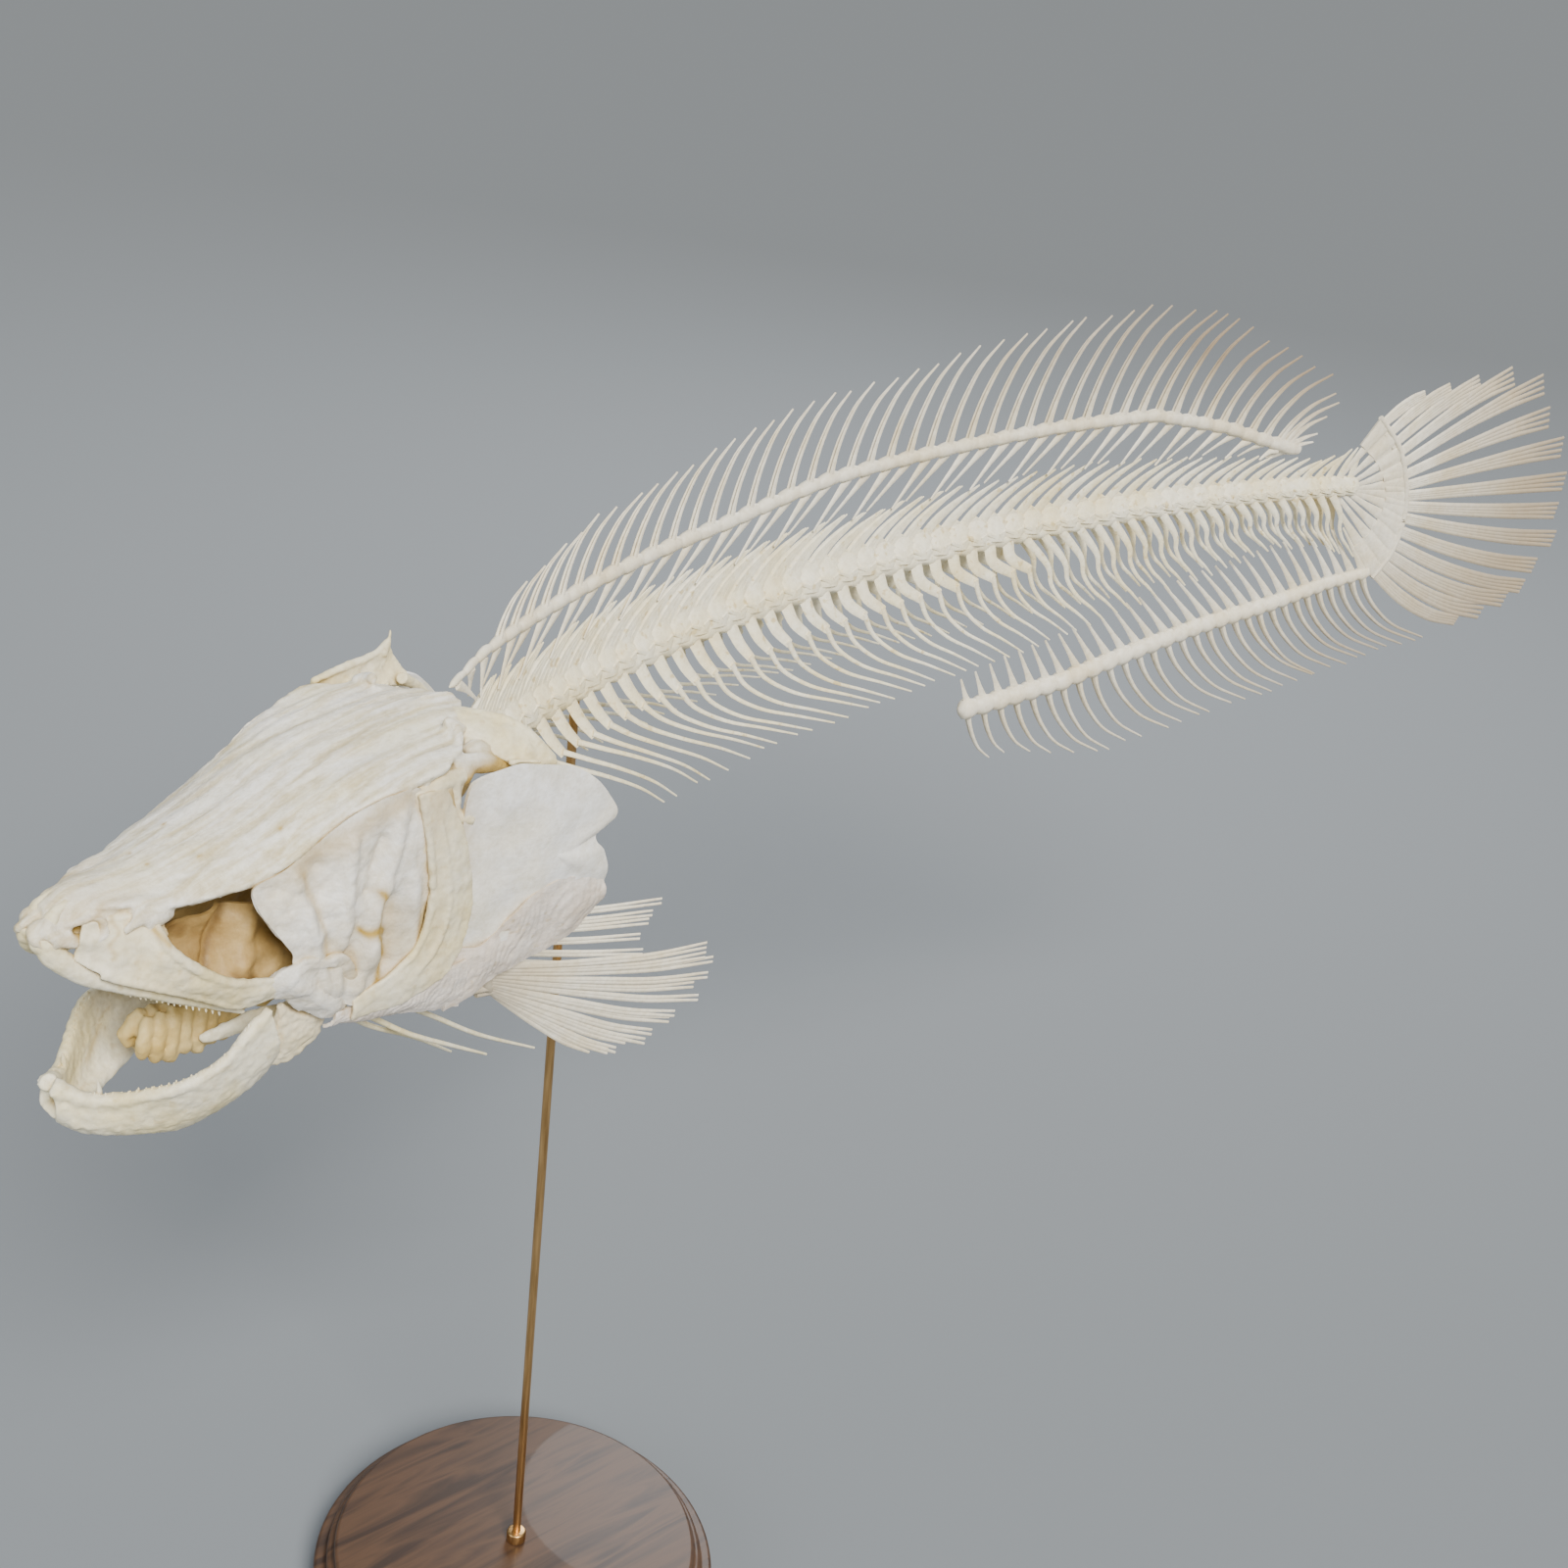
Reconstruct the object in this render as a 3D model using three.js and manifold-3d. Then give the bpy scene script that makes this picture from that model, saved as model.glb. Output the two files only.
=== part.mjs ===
// Skeleton of a northern snakehead on a display stand: millimetres, +Z up, head towards -X.
// The origin is the middle of the base's underside, with the brass rod standing on it.
import * as THREE from 'three';
import { mergeVertices } from 'three/addons/utils/BufferGeometryUtils.js';
import Module from 'manifold-3d';

const wasm = await Module();
wasm.setup();

// ---- Driving sizes -------------------------------------------------------------------
const gap = 0.3; // clear space between neighbouring pieces
const vertebraCount = 54;
const columnLength = 453; // first to last vertebra
const columnHeight = 404; // middle of the backbone above the floor, where the rod holds it
const rodPlace = 0.148; // share of the backbone that lies ahead of the rod
const rodRadius = 1.6;
const baseRadius = 80;
const baseThickness = 24;
const baseEdge = 4; // chamfer round the base's top
const headTurn = 8.3; // degrees that the skull's axis turns from X
const headPitch = -0.5;
const headRoll = 2;
const tailStretch = 0.8; // length of one share of the backbone past its last vertebra
const dorsalRays = 48;
const analRays = 30;
const caudalRays = 15;
const pectoralRays = 12;
const firstRib = 4;
const lastRib = 52;
const lastBentRib = 32; // further back the ribs are short and straighter
const rayRadius = 0.8;

const boneFinish = { color: 0xe9e2d0, roughness: 0.62, metalness: 0 };
const thinBoneFinish = { color: 0xf1eee6, roughness: 0.5, metalness: 0 };
const rayFinish = { color: 0xd9cdb4, roughness: 0.6, metalness: 0 };
const brassFinish = { color: 0x9a7440, roughness: 0.35, metalness: 0.9 };
const woodFinish = { color: 0x3b2a1e, roughness: 0.5, metalness: 0 };

const group = new THREE.Group();
const vec = (x, y, z) => new THREE.Vector3(x, y, z);
const rad = THREE.MathUtils.degToRad;
const lerp = THREE.MathUtils.lerp;

// ---- Values that vary along a line ---------------------------------------------------

// Reads a list of evenly spaced values at share t of its length.
function sample(values, t) {
  const place = THREE.MathUtils.clamp(t, 0, 1) * (values.length - 1);
  const index = Math.min(Math.floor(place), values.length - 2);
  return lerp(values[index], values[index + 1], place - index);
}

// Reads a list of [place, value] pairs at a place.
function graph(pairs, place) {
  let index = 0;
  while (index < pairs.length - 2 && place > pairs[index + 1][0]) index += 1;
  const [start, low] = pairs[index];
  const [end, high] = pairs[index + 1];
  const share = THREE.MathUtils.clamp((place - start) / (end - start), 0, 1);
  return lerp(low, high, share);
}

// ---- The backbone's line: it swings from side to side and sags gently ----------------
const spineHeading = (s) => rad(24.6 - 78.7 * s + 43.6 * s * s);
const spinePitch = (s) => rad(3.9 + 4.4 * s - 11.3 * s * s);
const vertebraLengths = [[0, 0.75], [0.2, 1], [0.6, 1], [1, 0.75]];
const vertebraRadii = [[0, 4.4], [0.3, 4.5], [0.6, 3.6], [0.85, 2.7], [1, 2.3]];

// The direction tailwards, upwards and to the fish's left for a heading and a pitch.
function axesOf(heading, pitch) {
  const back = vec(Math.cos(pitch) * Math.cos(heading), Math.cos(pitch) * Math.sin(heading), Math.sin(pitch));
  const up = vec(0, 0, 1).addScaledVector(back, -back.z).normalize();
  const left = up.clone().cross(back).negate();
  return { back, up, left };
}

function spineStations(steps) {
  const stations = [vec(0, 0, 0)];
  const share = (i) => graph(vertebraLengths, (i + 0.5) / steps);
  let total = 0;
  for (let i = 0; i < steps; i += 1) total += share(i);
  for (let i = 0; i < steps; i += 1) {
    const s = (i + 0.5) / steps;
    const { back } = axesOf(spineHeading(s), spinePitch(s));
    stations.push(stations[i].clone().addScaledVector(back, (columnLength * share(i)) / total));
  }
  return stations;
}

const stations = spineStations(vertebraCount * 4);
function spinePoint(s) {
  const place = THREE.MathUtils.clamp(s, 0, 1) * (stations.length - 1);
  const index = Math.min(Math.floor(place), stations.length - 2);
  return stations[index].clone().lerp(stations[index + 1], place - index);
}
const overRod = spinePoint(rodPlace);
const spineStart = vec(-overRod.x, -overRod.y, columnHeight - overRod.z);

// A point beside the backbone: a share of its length, then millimetres left and up.
function body(s, left, up) {
  const inside = THREE.MathUtils.clamp(s, 0, 1);
  const axes = axesOf(spineHeading(inside), spinePitch(inside));
  const beyond = (s - inside) * columnLength * (s > 1 ? tailStretch : 1);
  const point = spinePoint(inside).add(spineStart).addScaledVector(axes.back, beyond);
  return point.addScaledVector(axes.left, left).addScaledVector(axes.up, up);
}

// A point of the head: millimetres forward of the first vertebra, to the left, and up.
const headAxes = axesOf(rad(headTurn), rad(headPitch));
const headUp = headAxes.up.clone().applyAxisAngle(headAxes.back, rad(headRoll));
const headLeft = headAxes.left.clone().applyAxisAngle(headAxes.back, rad(headRoll));
function head(x, y, z) {
  const point = spineStart.clone().addScaledVector(headAxes.back, -x);
  return point.addScaledVector(headLeft, y).addScaledVector(headUp, z);
}

// Turns [x, y, z] rows into head points, with the left side mirrored for the right one.
const headPoints = (rows, side) => rows.map(([x, y, z]) => head(x, y * side, z));

// ---- Shapes --------------------------------------------------------------------------

// Moves each vertex of a three.js geometry to the place that a function gives it.
function bend(geometry, place) {
  const position = geometry.getAttribute('position');
  const point = vec(0, 0, 0);
  for (let i = 0; i < position.count; i += 1) {
    point.fromBufferAttribute(position, i);
    const moved = place(point);
    position.setXYZ(i, moved.x, moved.y, moved.z);
  }
  return geometry;
}

// A tapered rod along a smooth curve; flat squashes it across its side direction.
function rod(points, radii, { sides = 3, steps = points.length - 1, side = vec(0, 0, 1), flat = 1 } = {}) {
  const curve = new THREE.CatmullRomCurve3(points);
  return bend(new THREE.CylinderGeometry(1, 1, 1, sides, steps), (p) => {
    const t = THREE.MathUtils.clamp(p.y + 0.5, 0, 1);
    const tangent = curve.getTangent(t);
    const across = side.clone().addScaledVector(tangent, -side.dot(tangent)).normalize();
    const over = across.clone().cross(tangent);
    const radius = sample(radii, t);
    const centre = curve.getPoint(t);
    return centre.addScaledVector(across, p.x * radius).addScaledVector(over, p.z * radius * flat);
  });
}

// A plate between an upper and a lower edge, bulging by some millimetres along its middle.
function strip(upper, lower, thickness, { steps = 5, bulge = 0 } = {}) {
  const top = new THREE.CatmullRomCurve3(upper);
  const bottom = new THREE.CatmullRomCurve3(lower);
  const rows = bulge === 0 ? 1 : 2;
  const surface = (u, v) => bottom.getPoint(THREE.MathUtils.clamp(u, 0, 1))
    .lerp(top.getPoint(THREE.MathUtils.clamp(u, 0, 1)), v);
  return bend(new THREE.BoxGeometry(1, 1, 1, steps, rows, 1), (p) => {
    const u = p.x + 0.5;
    const v = p.y + 0.5;
    const along = surface(Math.min(u + 0.05, 1), v).sub(surface(Math.max(u - 0.05, 0), v));
    const rise = surface(u, 1).sub(surface(u, 0));
    const out = along.cross(rise).normalize();
    const swell = bulge * 4 * v * (1 - v) * Math.sin(Math.PI * THREE.MathUtils.clamp(u, 0.15, 0.85));
    return surface(u, v).addScaledVector(out, p.z * thickness + swell);
  });
}

// A plate inside a closed outline, domed towards a given side.
function shield(outline, thickness, dome, outward, sides = 16) {
  const edge = new THREE.CatmullRomCurve3(outline, true);
  const centre = outline.reduce((sum, point) => sum.add(point), vec(0, 0, 0)).divideScalar(outline.length);
  return bend(new THREE.CylinderGeometry(1, 1, 1, sides, 1), (p) => {
    const reach = Math.hypot(p.x, p.z);
    const turn = (Math.atan2(p.x, p.z) / (2 * Math.PI) + 1) % 1;
    const point = centre.clone().lerp(edge.getPoint(turn), reach);
    return point.addScaledVector(outward, p.y * thickness + dome * (1 - reach));
  });
}

// A closed block whose sections are ellipses [x, half width, top, bottom] along the head.
function block(sections, sides = 8) {
  const steps = sections.length - 1;
  const column = (index) => sections.map((section) => section[index]);
  return bend(new THREE.CylinderGeometry(1, 1, 1, sides, steps), (p) => {
    const t = p.y + 0.5;
    const top = sample(column(2), t);
    const bottom = sample(column(3), t);
    const height = lerp(bottom, top, (p.z + 1) / 2);
    return head(sample(column(0), t), p.x * sample(column(1), t), height);
  });
}

// ---- Joining and cutting -------------------------------------------------------------

function signedVolume(points, triangles) {
  const corner = (i) => vec(points[3 * i], points[3 * i + 1], points[3 * i + 2]);
  let volume = 0;
  for (let i = 0; i < triangles.length; i += 3) {
    volume += corner(triangles[i]).dot(corner(triangles[i + 1]).cross(corner(triangles[i + 2])));
  }
  return volume / 6;
}

// A closed geometry as a solid for joining and cutting, turned outside out where it is mirrored.
function solid(geometry) {
  geometry.deleteAttribute('normal');
  geometry.deleteAttribute('uv');
  const merged = mergeVertices(geometry, 1e-4);
  const vertProperties = Float32Array.from(merged.getAttribute('position').array);
  const triVerts = Uint32Array.from(merged.index.array);
  if (signedVolume(vertProperties, triVerts) < 0) triVerts.reverse();
  return new wasm.Manifold(new wasm.Mesh({ numProp: 3, vertProperties, triVerts }));
}

const join = (geometries) => geometries.map(solid).reduce((sum, next) => sum.add(next));

function geometryOf(manifold) {
  const mesh = manifold.getMesh();
  const geometry = new THREE.BufferGeometry();
  geometry.setAttribute('position', new THREE.BufferAttribute(Float32Array.from(mesh.vertProperties), 3));
  geometry.setIndex(new THREE.BufferAttribute(Uint32Array.from(mesh.triVerts), 1));
  geometry.computeVertexNormals();
  return geometry;
}

function addPiece(name, finish, manifold) {
  const mesh = new THREE.Mesh(geometryOf(manifold), new THREE.MeshStandardMaterial(finish));
  mesh.name = name;
  group.add(mesh);
}

// Cuts off what crosses the head's middle plane, leaving half of the gap.
function onItsSide(manifold, side) {
  const reach = 400;
  const half = bend(new THREE.BoxGeometry(reach, reach, reach), (p) => {
    const y = side * (gap / 2 - reach / 2 + p.y);
    return head(p.x, y, p.z);
  });
  return manifold.subtract(solid(half));
}

const bothSides = (build) => {
  build('left', 1);
  build('right', -1);
};

// ---- Stand ---------------------------------------------------------------------------

function makeStand() {
  const profile = [
    [0, 0], [baseRadius, 0], [baseRadius, baseThickness - baseEdge],
    [baseRadius - baseEdge, baseThickness], [0, baseThickness],
  ].map(([radius, z]) => new THREE.Vector2(radius, z));
  const base = new THREE.LatheGeometry(profile, 32);
  base.rotateX(Math.PI / 2);
  addPiece('stand_base', woodFinish, solid(base));

  const low = baseThickness + gap;
  const high = columnHeight - graph(vertebraRadii, rodPlace) - gap;
  const post = new THREE.CylinderGeometry(rodRadius, rodRadius, high - low, 12);
  post.rotateX(Math.PI / 2);
  post.translate(0, 0, (high + low) / 2);
  addPiece('stand_rod', brassFinish, solid(post));
}

// ---- Skull ---------------------------------------------------------------------------
const skullLength = 155;
const roofRows = [ // forward place, half width, height of the roof's edge, rise of its middle
  [7, 6, 22, 2.5], [18, 19, 23.5, 3], [30, 29, 23.5, 3], [40, 32, 23, 2.5], [58, 28.5, 19, 4], [72, 26, 13.5, 6],
  [86, 25.5, 6.5, 8], [100, 22.5, 2.5, 8], [122, 16, 0, 6], [139, 9, 2, 5],
];
const roofThickness = 3; // along the roof's edge: its middle is twice as thick

function roofPlate() {
  const column = (index) => roofRows.map((row) => row[index]);
  const steps = roofRows.length - 1;
  return bend(new THREE.BoxGeometry(1, 1, 1, steps, 4, 1), (p) => {
    const t = p.x + 0.5;
    const across = p.y * 2;
    const crown = sample(column(3), t) * (1 - across * across);
    const thickness = p.z > 0 ? 0 : roofThickness * (2 - Math.abs(across));
    const height = sample(column(2), t) + crown - thickness;
    return head(sample(column(0), t), across * sample(column(1), t), height);
  });
}

function makeCranium() {
  const braincase = block([
    [1.5, 7, 9, -6], [14, 17, 20, -9], [34, 21, 22, -12], [56, 18, 20, -13], [76, 11, 13, -12], [88, 4, 7, -11],
  ]);
  const floorBar = rod(headPoints([[12, 0, -8], [60, 0, -13], [112, 0, -12], [134, 0, -9]], 1),
    [3, 3.6, 3, 3], { sides: 5, steps: 4 });
  const snout = block([
    [108, 6, 4, -12], [120, 11.5, 4, -13], [132, 11, 6, -11.5], [141, 7.5, 5.5, -9.5],
  ]);
  const wing = (side) => rod(headPoints([[40, 12, 6], [40, 25, 15], [38, 30, 18]], side),
    [8, 6, 3], { sides: 5, side: headUp, flat: 1.6 });
  const spine = rod(headPoints([[28, 0, 20], [16, 0, 23.5], [9, 0, 22]], 1), [4, 3, 1.2], { sides: 4 });
  addPiece('cranium', boneFinish, join([roofPlate(), braincase, floorBar, snout, wing(1), wing(-1), spine]));
}

// ---- Jaws ----------------------------------------------------------------------------

function makeUpperJaw(name, side) {
  const tooth = rod(headPoints([
    [149, 4.2, -3], [skullLength - 5, 4.4, -10], [141, 8.5, -18.5], [119, 17, -32], [97, 22.5, -42],
  ], side), [3.2, 4.2, 3, 2.2, 0.9], { sides: 5, steps: 5 });
  addPiece(`premaxilla_${name}`, boneFinish, onItsSide(solid(tooth), side));

  const blade = strip(
    headPoints([[141, 11, -4], [128, 15.5, -9], [112, 22, -18], [93, 30.5, -26]], side),
    headPoints([[139, 11.5, -12], [127, 17, -18], [111, 23, -27], [93, 30.5, -34]], side), 2.2, { steps: 4 },
  );
  addPiece(`maxilla_${name}`, boneFinish, solid(blade));
}

const jawUpper = [[147, 1, -56], [137, 10, -60], [128.5, 18, -57.5], [120, 25, -55], [108, 27, -51], [97, 27.5, -40.5]];
const jawLower = [[147, 1, -68], [132, 9, -73.5], [116.5, 16, -75.8], [99, 19.5, -72.5], [86.5, 23.5, -62.5]];

function makeLowerJaw(name, side) {
  const bar = strip(headPoints(jawUpper, side), headPoints(jawLower, side), 4.4, { steps: 7, bulge: 0.8 * side });
  const teeth = [0.14, 0.42, 0.7].map((place) => {
    const foot = new THREE.CatmullRomCurve3(headPoints(jawUpper, side)).getPoint(place);
    const tip = foot.clone().addScaledVector(headUp, 3);
    return rod([foot.addScaledVector(headUp, -1), tip], [0.9, 0.35], { side: headLeft });
  });
  addPiece(`dentary_${name}`, boneFinish, onItsSide(join([bar, ...teeth]), side));

  const hinge = strip(
    headPoints([[91, 25, -47], [80, 25.5, -49.5], [70, 26, -50.5]], side),
    headPoints([[83, 24.5, -62], [76, 25, -61.5], [69.5, 26, -58]], side), 4, { steps: 3 },
  );
  addPiece(`articular_${name}`, boneFinish, solid(hinge));
}

// ---- Cheek and gill cover ------------------------------------------------------------

function makeCheek(name, side) {
  const outward = headLeft.clone().multiplyScalar(side);
  const quadrate = shield(headPoints([
    [93, 26.5, -26], [84, 27.5, -24.5], [74, 28, -30], [68, 28, -37], [71, 27, -47], [80, 26, -44], [89, 26, -33],
  ], side), 4, 0.8, outward, 12);
  addPiece(`quadrate_${name}`, boneFinish, solid(quadrate));

  const palate = strip(
    headPoints([[128, 9, -15], [106, 13, -16], [84, 17, -15], [62, 20, -14.5]], side),
    headPoints([[127, 12, -21], [106, 17, -30], [86, 20.5, -38], [64, 21.5, -42]], side), 1.4, { steps: 4 },
  );
  addPiece(`palate_${name}`, thinBoneFinish, solid(palate));

  const plate = shield(headPoints([
    [89, 25, -2], [76, 27.5, 5], [62, 30, 12], [50, 31, 14], [49, 32.5, -12], [50, 33, -34],
    [62, 33, -37], [76, 33, -32], [87, 32, -22], [84, 29, -12],
  ], side), 1.3, 1.5, outward, 16);
  addPiece(`infraorbital_${name}`, thinBoneFinish, solid(plate));

  const strut = strip(
    headPoints([[46.5, 29, 9], [38, 30, 8], [27, 30, 8]], side),
    headPoints([[46, 31, -30], [40, 31, -31], [34, 31, -30]], side), 2.6, { steps: 3 },
  );
  addPiece(`hyomandibula_${name}`, boneFinish, solid(strut));
}

function makeGillCover(name, side) {
  const outward = headLeft.clone().multiplyScalar(side);
  const preopercle = strip(
    headPoints([[47, 34, 11], [42, 35.3, -8], [43, 35.5, -28], [53, 34.5, -40], [67, 31.5, -46]], side),
    headPoints([[39, 34.5, 14], [32, 36, -5], [30, 36.5, -28], [38, 35.5, -47], [53, 33.5, -52.5], [67, 31, -52.5]],
      side), 1.8, { steps: 7 },
  );
  addPiece(`preopercle_${name}`, boneFinish, solid(preopercle));

  const opercle = shield(headPoints([
    [27, 33.5, 17], [12, 36, 19.5], [-6, 38, 14], [-18, 39, 6], [-29, 39.5, -5], [-24, 39.5, -14],
    [-19, 39, -19], [-26, 39, -28], [-22, 38.5, -40], [-10, 38, -49], [8, 36.5, -50], [23, 34, -46], [29, 33.5, -15],
  ], side), 1.4, 3, outward, 20);
  addPiece(`opercle_${name}`, thinBoneFinish, solid(opercle));

  const subopercle = strip(
    headPoints([[26, 33, -50.5], [8, 36, -53.5], [-10, 37.5, -52.5], [-24, 39, -43]], side),
    headPoints([[26, 31, -60], [8, 33, -69], [-9, 35.5, -66], [-24, 39, -47]], side), 1.3, { steps: 5 },
  );
  addPiece(`subopercle_${name}`, thinBoneFinish, solid(subopercle));

  const interopercle = strip(
    headPoints([[66, 29, -54.5], [48, 33, -55.5], [28, 34, -50]], side),
    headPoints([[66, 28.5, -58.5], [48, 31.5, -62.5], [28, 31.5, -62]], side), 1.3, { steps: 4 },
  );
  addPiece(`interopercle_${name}`, thinBoneFinish, solid(interopercle));
}

// ---- Throat --------------------------------------------------------------------------

function makeHyoid(name, side) {
  const bar = rod(headPoints([[101, 8, -56], [84, 13, -53], [62, 20, -52], [46, 24, -44]], side),
    [1.8, 3, 3.4, 2], { sides: 5, side: headUp });
  const whiskers = [
    [[76, 15.5, -54], [48, 20, -68], [12, 18, -94]],
    [[68, 18, -53], [38, 25, -72], [3, 25, -95]],
    [[58, 21, -52], [33, 25, -66], [-19, 25, -102]],
  ].map((rows) => rod(headPoints(rows, side), [1.1, 0.8, 0.45], { steps: 3 }));
  addPiece(`hyoid_${name}`, boneFinish, join([bar, ...whiskers]));
}

function makeGillArches() {
  const tongue = rod(headPoints([[116, 0, -51], [104, 0, -52], [76, 0, -54], [32, 0, -52]], 1),
    [1.5, 3.4, 2.6, 1.6], { sides: 5, side: headLeft, flat: 0.7, steps: 3 });
  const arches = [];
  for (const x of [86, 66, 48]) {
    for (const side of [1, -1]) {
      const rows = [[x, 1, -53], [x - 10, 9, -50], [x - 22, 13.5, -36], [x - 16, 9, -23]];
      arches.push(rod(headPoints(rows, side), [1.6, 1.3, 1.2, 1.2], { side: headUp }));
    }
  }
  addPiece('gill_arches', boneFinish, join([tongue, ...arches]));
}

// ---- Shoulder -------------------------------------------------------

function makeShoulder(name, side) {
  const link = rod(headPoints([[16, 22, 27.5], [4, 26, 24.5], [-8, 29, 14], [-14, 31, 6]], side),
    [1.2, 3, 2.4, 0.9], { sides: 5, side: headUp, flat: 0.55 });
  const horn = rod(headPoints([[5, 26, 24], [3, 31, 27.5], [2, 35, 30]], side), [1.8, 1.3, 0.5]);
  addPiece(`posttemporal_${name}`, boneFinish, join([link, horn]));

  const bow = rod(headPoints([[-12, 28, 2], [-6, 31, -16], [2, 27, -38], [13, 20, -58], [34, 7, -69]], side),
    [1.4, 3, 3.4, 3.6, 1.6], { sides: 5, steps: 5, side: headAxes.back, flat: 0.5 });
  addPiece(`cleithrum_${name}`, boneFinish, solid(bow));
}

// ---- Rows that pieces grow from --------------------------------------------------------

// A closed beam through rings of corners. A shoot is a list of further rings of four corners
// that grows out of one facet: shoots[step] holds them by the facet's number.
function grownBeam(rings, shoots) {
  const points = [];
  const triangles = [];
  const add = (point) => points.push(point) - 1;
  const quad = (a, b, c, d) => triangles.push(a, b, c, a, c, d);
  const numbered = rings.map((ring) => ring.map(add));
  const sides = rings[0].length;
  const first = numbered[0];
  const last = numbered[numbered.length - 1];
  for (let step = 0; step < numbered.length - 1; step += 1) {
    for (let k = 0; k < sides; k += 1) {
      const next = (k + 1) % sides;
      let foot = [numbered[step][k], numbered[step][next], numbered[step + 1][next], numbered[step + 1][k]];
      for (const ring of shoots[step]?.[k] ?? []) {
        const head4 = ring.map(add);
        for (let j = 0; j < 4; j += 1) quad(foot[j], foot[(j + 1) % 4], head4[(j + 1) % 4], head4[j]);
        foot = head4;
      }
      quad(...foot);
    }
  }
  for (let k = 1; k < sides - 1; k += 1) {
    triangles.push(first[0], first[k + 1], first[k]);
    triangles.push(last[0], last[k], last[k + 1]);
  }
  const geometry = new THREE.BufferGeometry();
  geometry.setAttribute('position', new THREE.Float32BufferAttribute(points.flatMap((p) => [p.x, p.y, p.z]), 3));
  geometry.setIndex(triangles);
  return geometry;
}

// The rings of a shoot along centres: the facet's corners keep their order, lengthways along
// its first axis and across along its second, with a half length and a half width at each.
function shootRings(facet, lengthways, centres, halfSizes) {
  const middle = facet.reduce((sum, point) => sum.add(point), vec(0, 0, 0)).multiplyScalar(1 / facet.length);
  const across = facet[1].clone().sub(facet[0]).add(facet[2]).sub(facet[3]);
  return centres.map((centre, i) => {
    const before = i === 0 ? middle : centres[i - 1];
    const after = centres[Math.min(i + 1, centres.length - 1)];
    const tangent = after.clone().sub(before).normalize();
    const u = lengthways.clone().addScaledVector(tangent, -lengthways.dot(tangent)).normalize();
    const v = across.clone().addScaledVector(tangent, -across.dot(tangent)).addScaledVector(u, -across.dot(u));
    v.normalize();
    const [length, width] = halfSizes[i];
    return [[-1, -1], [-1, 1], [1, 1], [1, -1]].map(([a, b]) => (
      centre.clone().addScaledVector(u, a * length).addScaledVector(v, b * width)));
  });
}

const facetOf = (rings, step, k) => {
  const next = (k + 1) % rings[0].length;
  return [rings[step][k], rings[step][next], rings[step + 1][next], rings[step + 1][k]];
};
const backAt = (s) => axesOf(spineHeading(Math.min(s, 1)), spinePitch(Math.min(s, 1))).back;

// ---- Backbone and ribs ---------------------------------------------------------------
const archFloor = 0.55; // height where the arches meet the centra, in centrum radii
const archTop = 2.1; // height where an arch closes, in centrum radii
const waist = 0.72; // a centrum's radius between its rims

// Where a length of the backbone starts and ends, clear of what is next to it.
function lengthEnds(first, last) {
  const clear = (gap * 0.8) / columnLength;
  return [first / vertebraCount + (first === 0 ? 0.007 : clear), last / vertebraCount - clear];
}

// A rib starts as a stout process, then runs thin, outwards, backwards and down.
function ribCentres(index, side) {
  const s = (index + 0.25) / vertebraCount;
  const radius = graph(vertebraRadii, s);
  const spread = graph([[0.07, 27], [0.3, 25], [0.5, 17], [0.65, 8], [0.8, 3.6], [0.9, 2.4]], s);
  const drop = graph([[0.07, 40], [0.5, 42], [0.65, 38], [0.75, 31], [0.85, 22], [0.92, 24], [1, 34]], s);
  const sweep = graph([[0.07, 46], [0.3, 46], [0.5, 36], [0.7, 24], [0.9, 22], [1, 26]], s) / columnLength;
  const process = Math.min(10, drop * 0.28);
  const sag = graph([[0.07, 0.5], [0.25, 0.64]], s); // share of the drop reached at the rib's middle
  return [
    body(s + sweep * 0.08, side * lerp(radius, spread, 0.25), -radius * 0.3 - process),
    body(s + sweep * 0.45, side * lerp(radius, spread, 0.72), -drop * sag),
    body(s + sweep, side * spread, -drop),
  ];
}

const ribSizes = [[1.2, 0.9], [0.6, 0.55], [0.45, 0.4]]; // half sizes: process, middle, tip

// One side of the centra, each narrowing between its rims, with the ribs that grow from it.
function makeRibs(name, sideName, side, first, last) {
  const steps = (last - first) * 2;
  const [start, end] = lengthEnds(first, last);
  const rings = [];
  for (let i = 0; i <= steps; i += 1) {
    const s = lerp(start, end, i / steps);
    const radius = graph(vertebraRadii, s);
    const squeeze = i % 2 === 1 ? waist : 1;
    rings.push([
      body(s, (side * gap) / 2, -radius * squeeze),
      body(s, side * radius * squeeze, radius * 0.1),
      body(s, (side * gap) / 2, radius * archFloor),
    ]);
  }
  const shoots = rings.map(() => ({}));
  for (let index = Math.max(first, firstRib); index < last && index <= lastRib; index += 1) {
    const step = (index - first) * 2;
    const facet = facetOf(rings, step, 0);
    const stretches = ribCentres(index, side).map((centre, i) => ({ centre, size: ribSizes[i] }))
      .filter((_, i) => i !== 1 || index < lastBentRib);
    shoots[step][0] = shootRings(facet, backAt(index / vertebraCount),
      stretches.map(({ centre }) => centre), stretches.map(({ size }) => size));
  }
  addPiece(`ribs_${name}_${sideName}`, boneFinish, solid(grownBeam(rings, shoots)));
}

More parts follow.
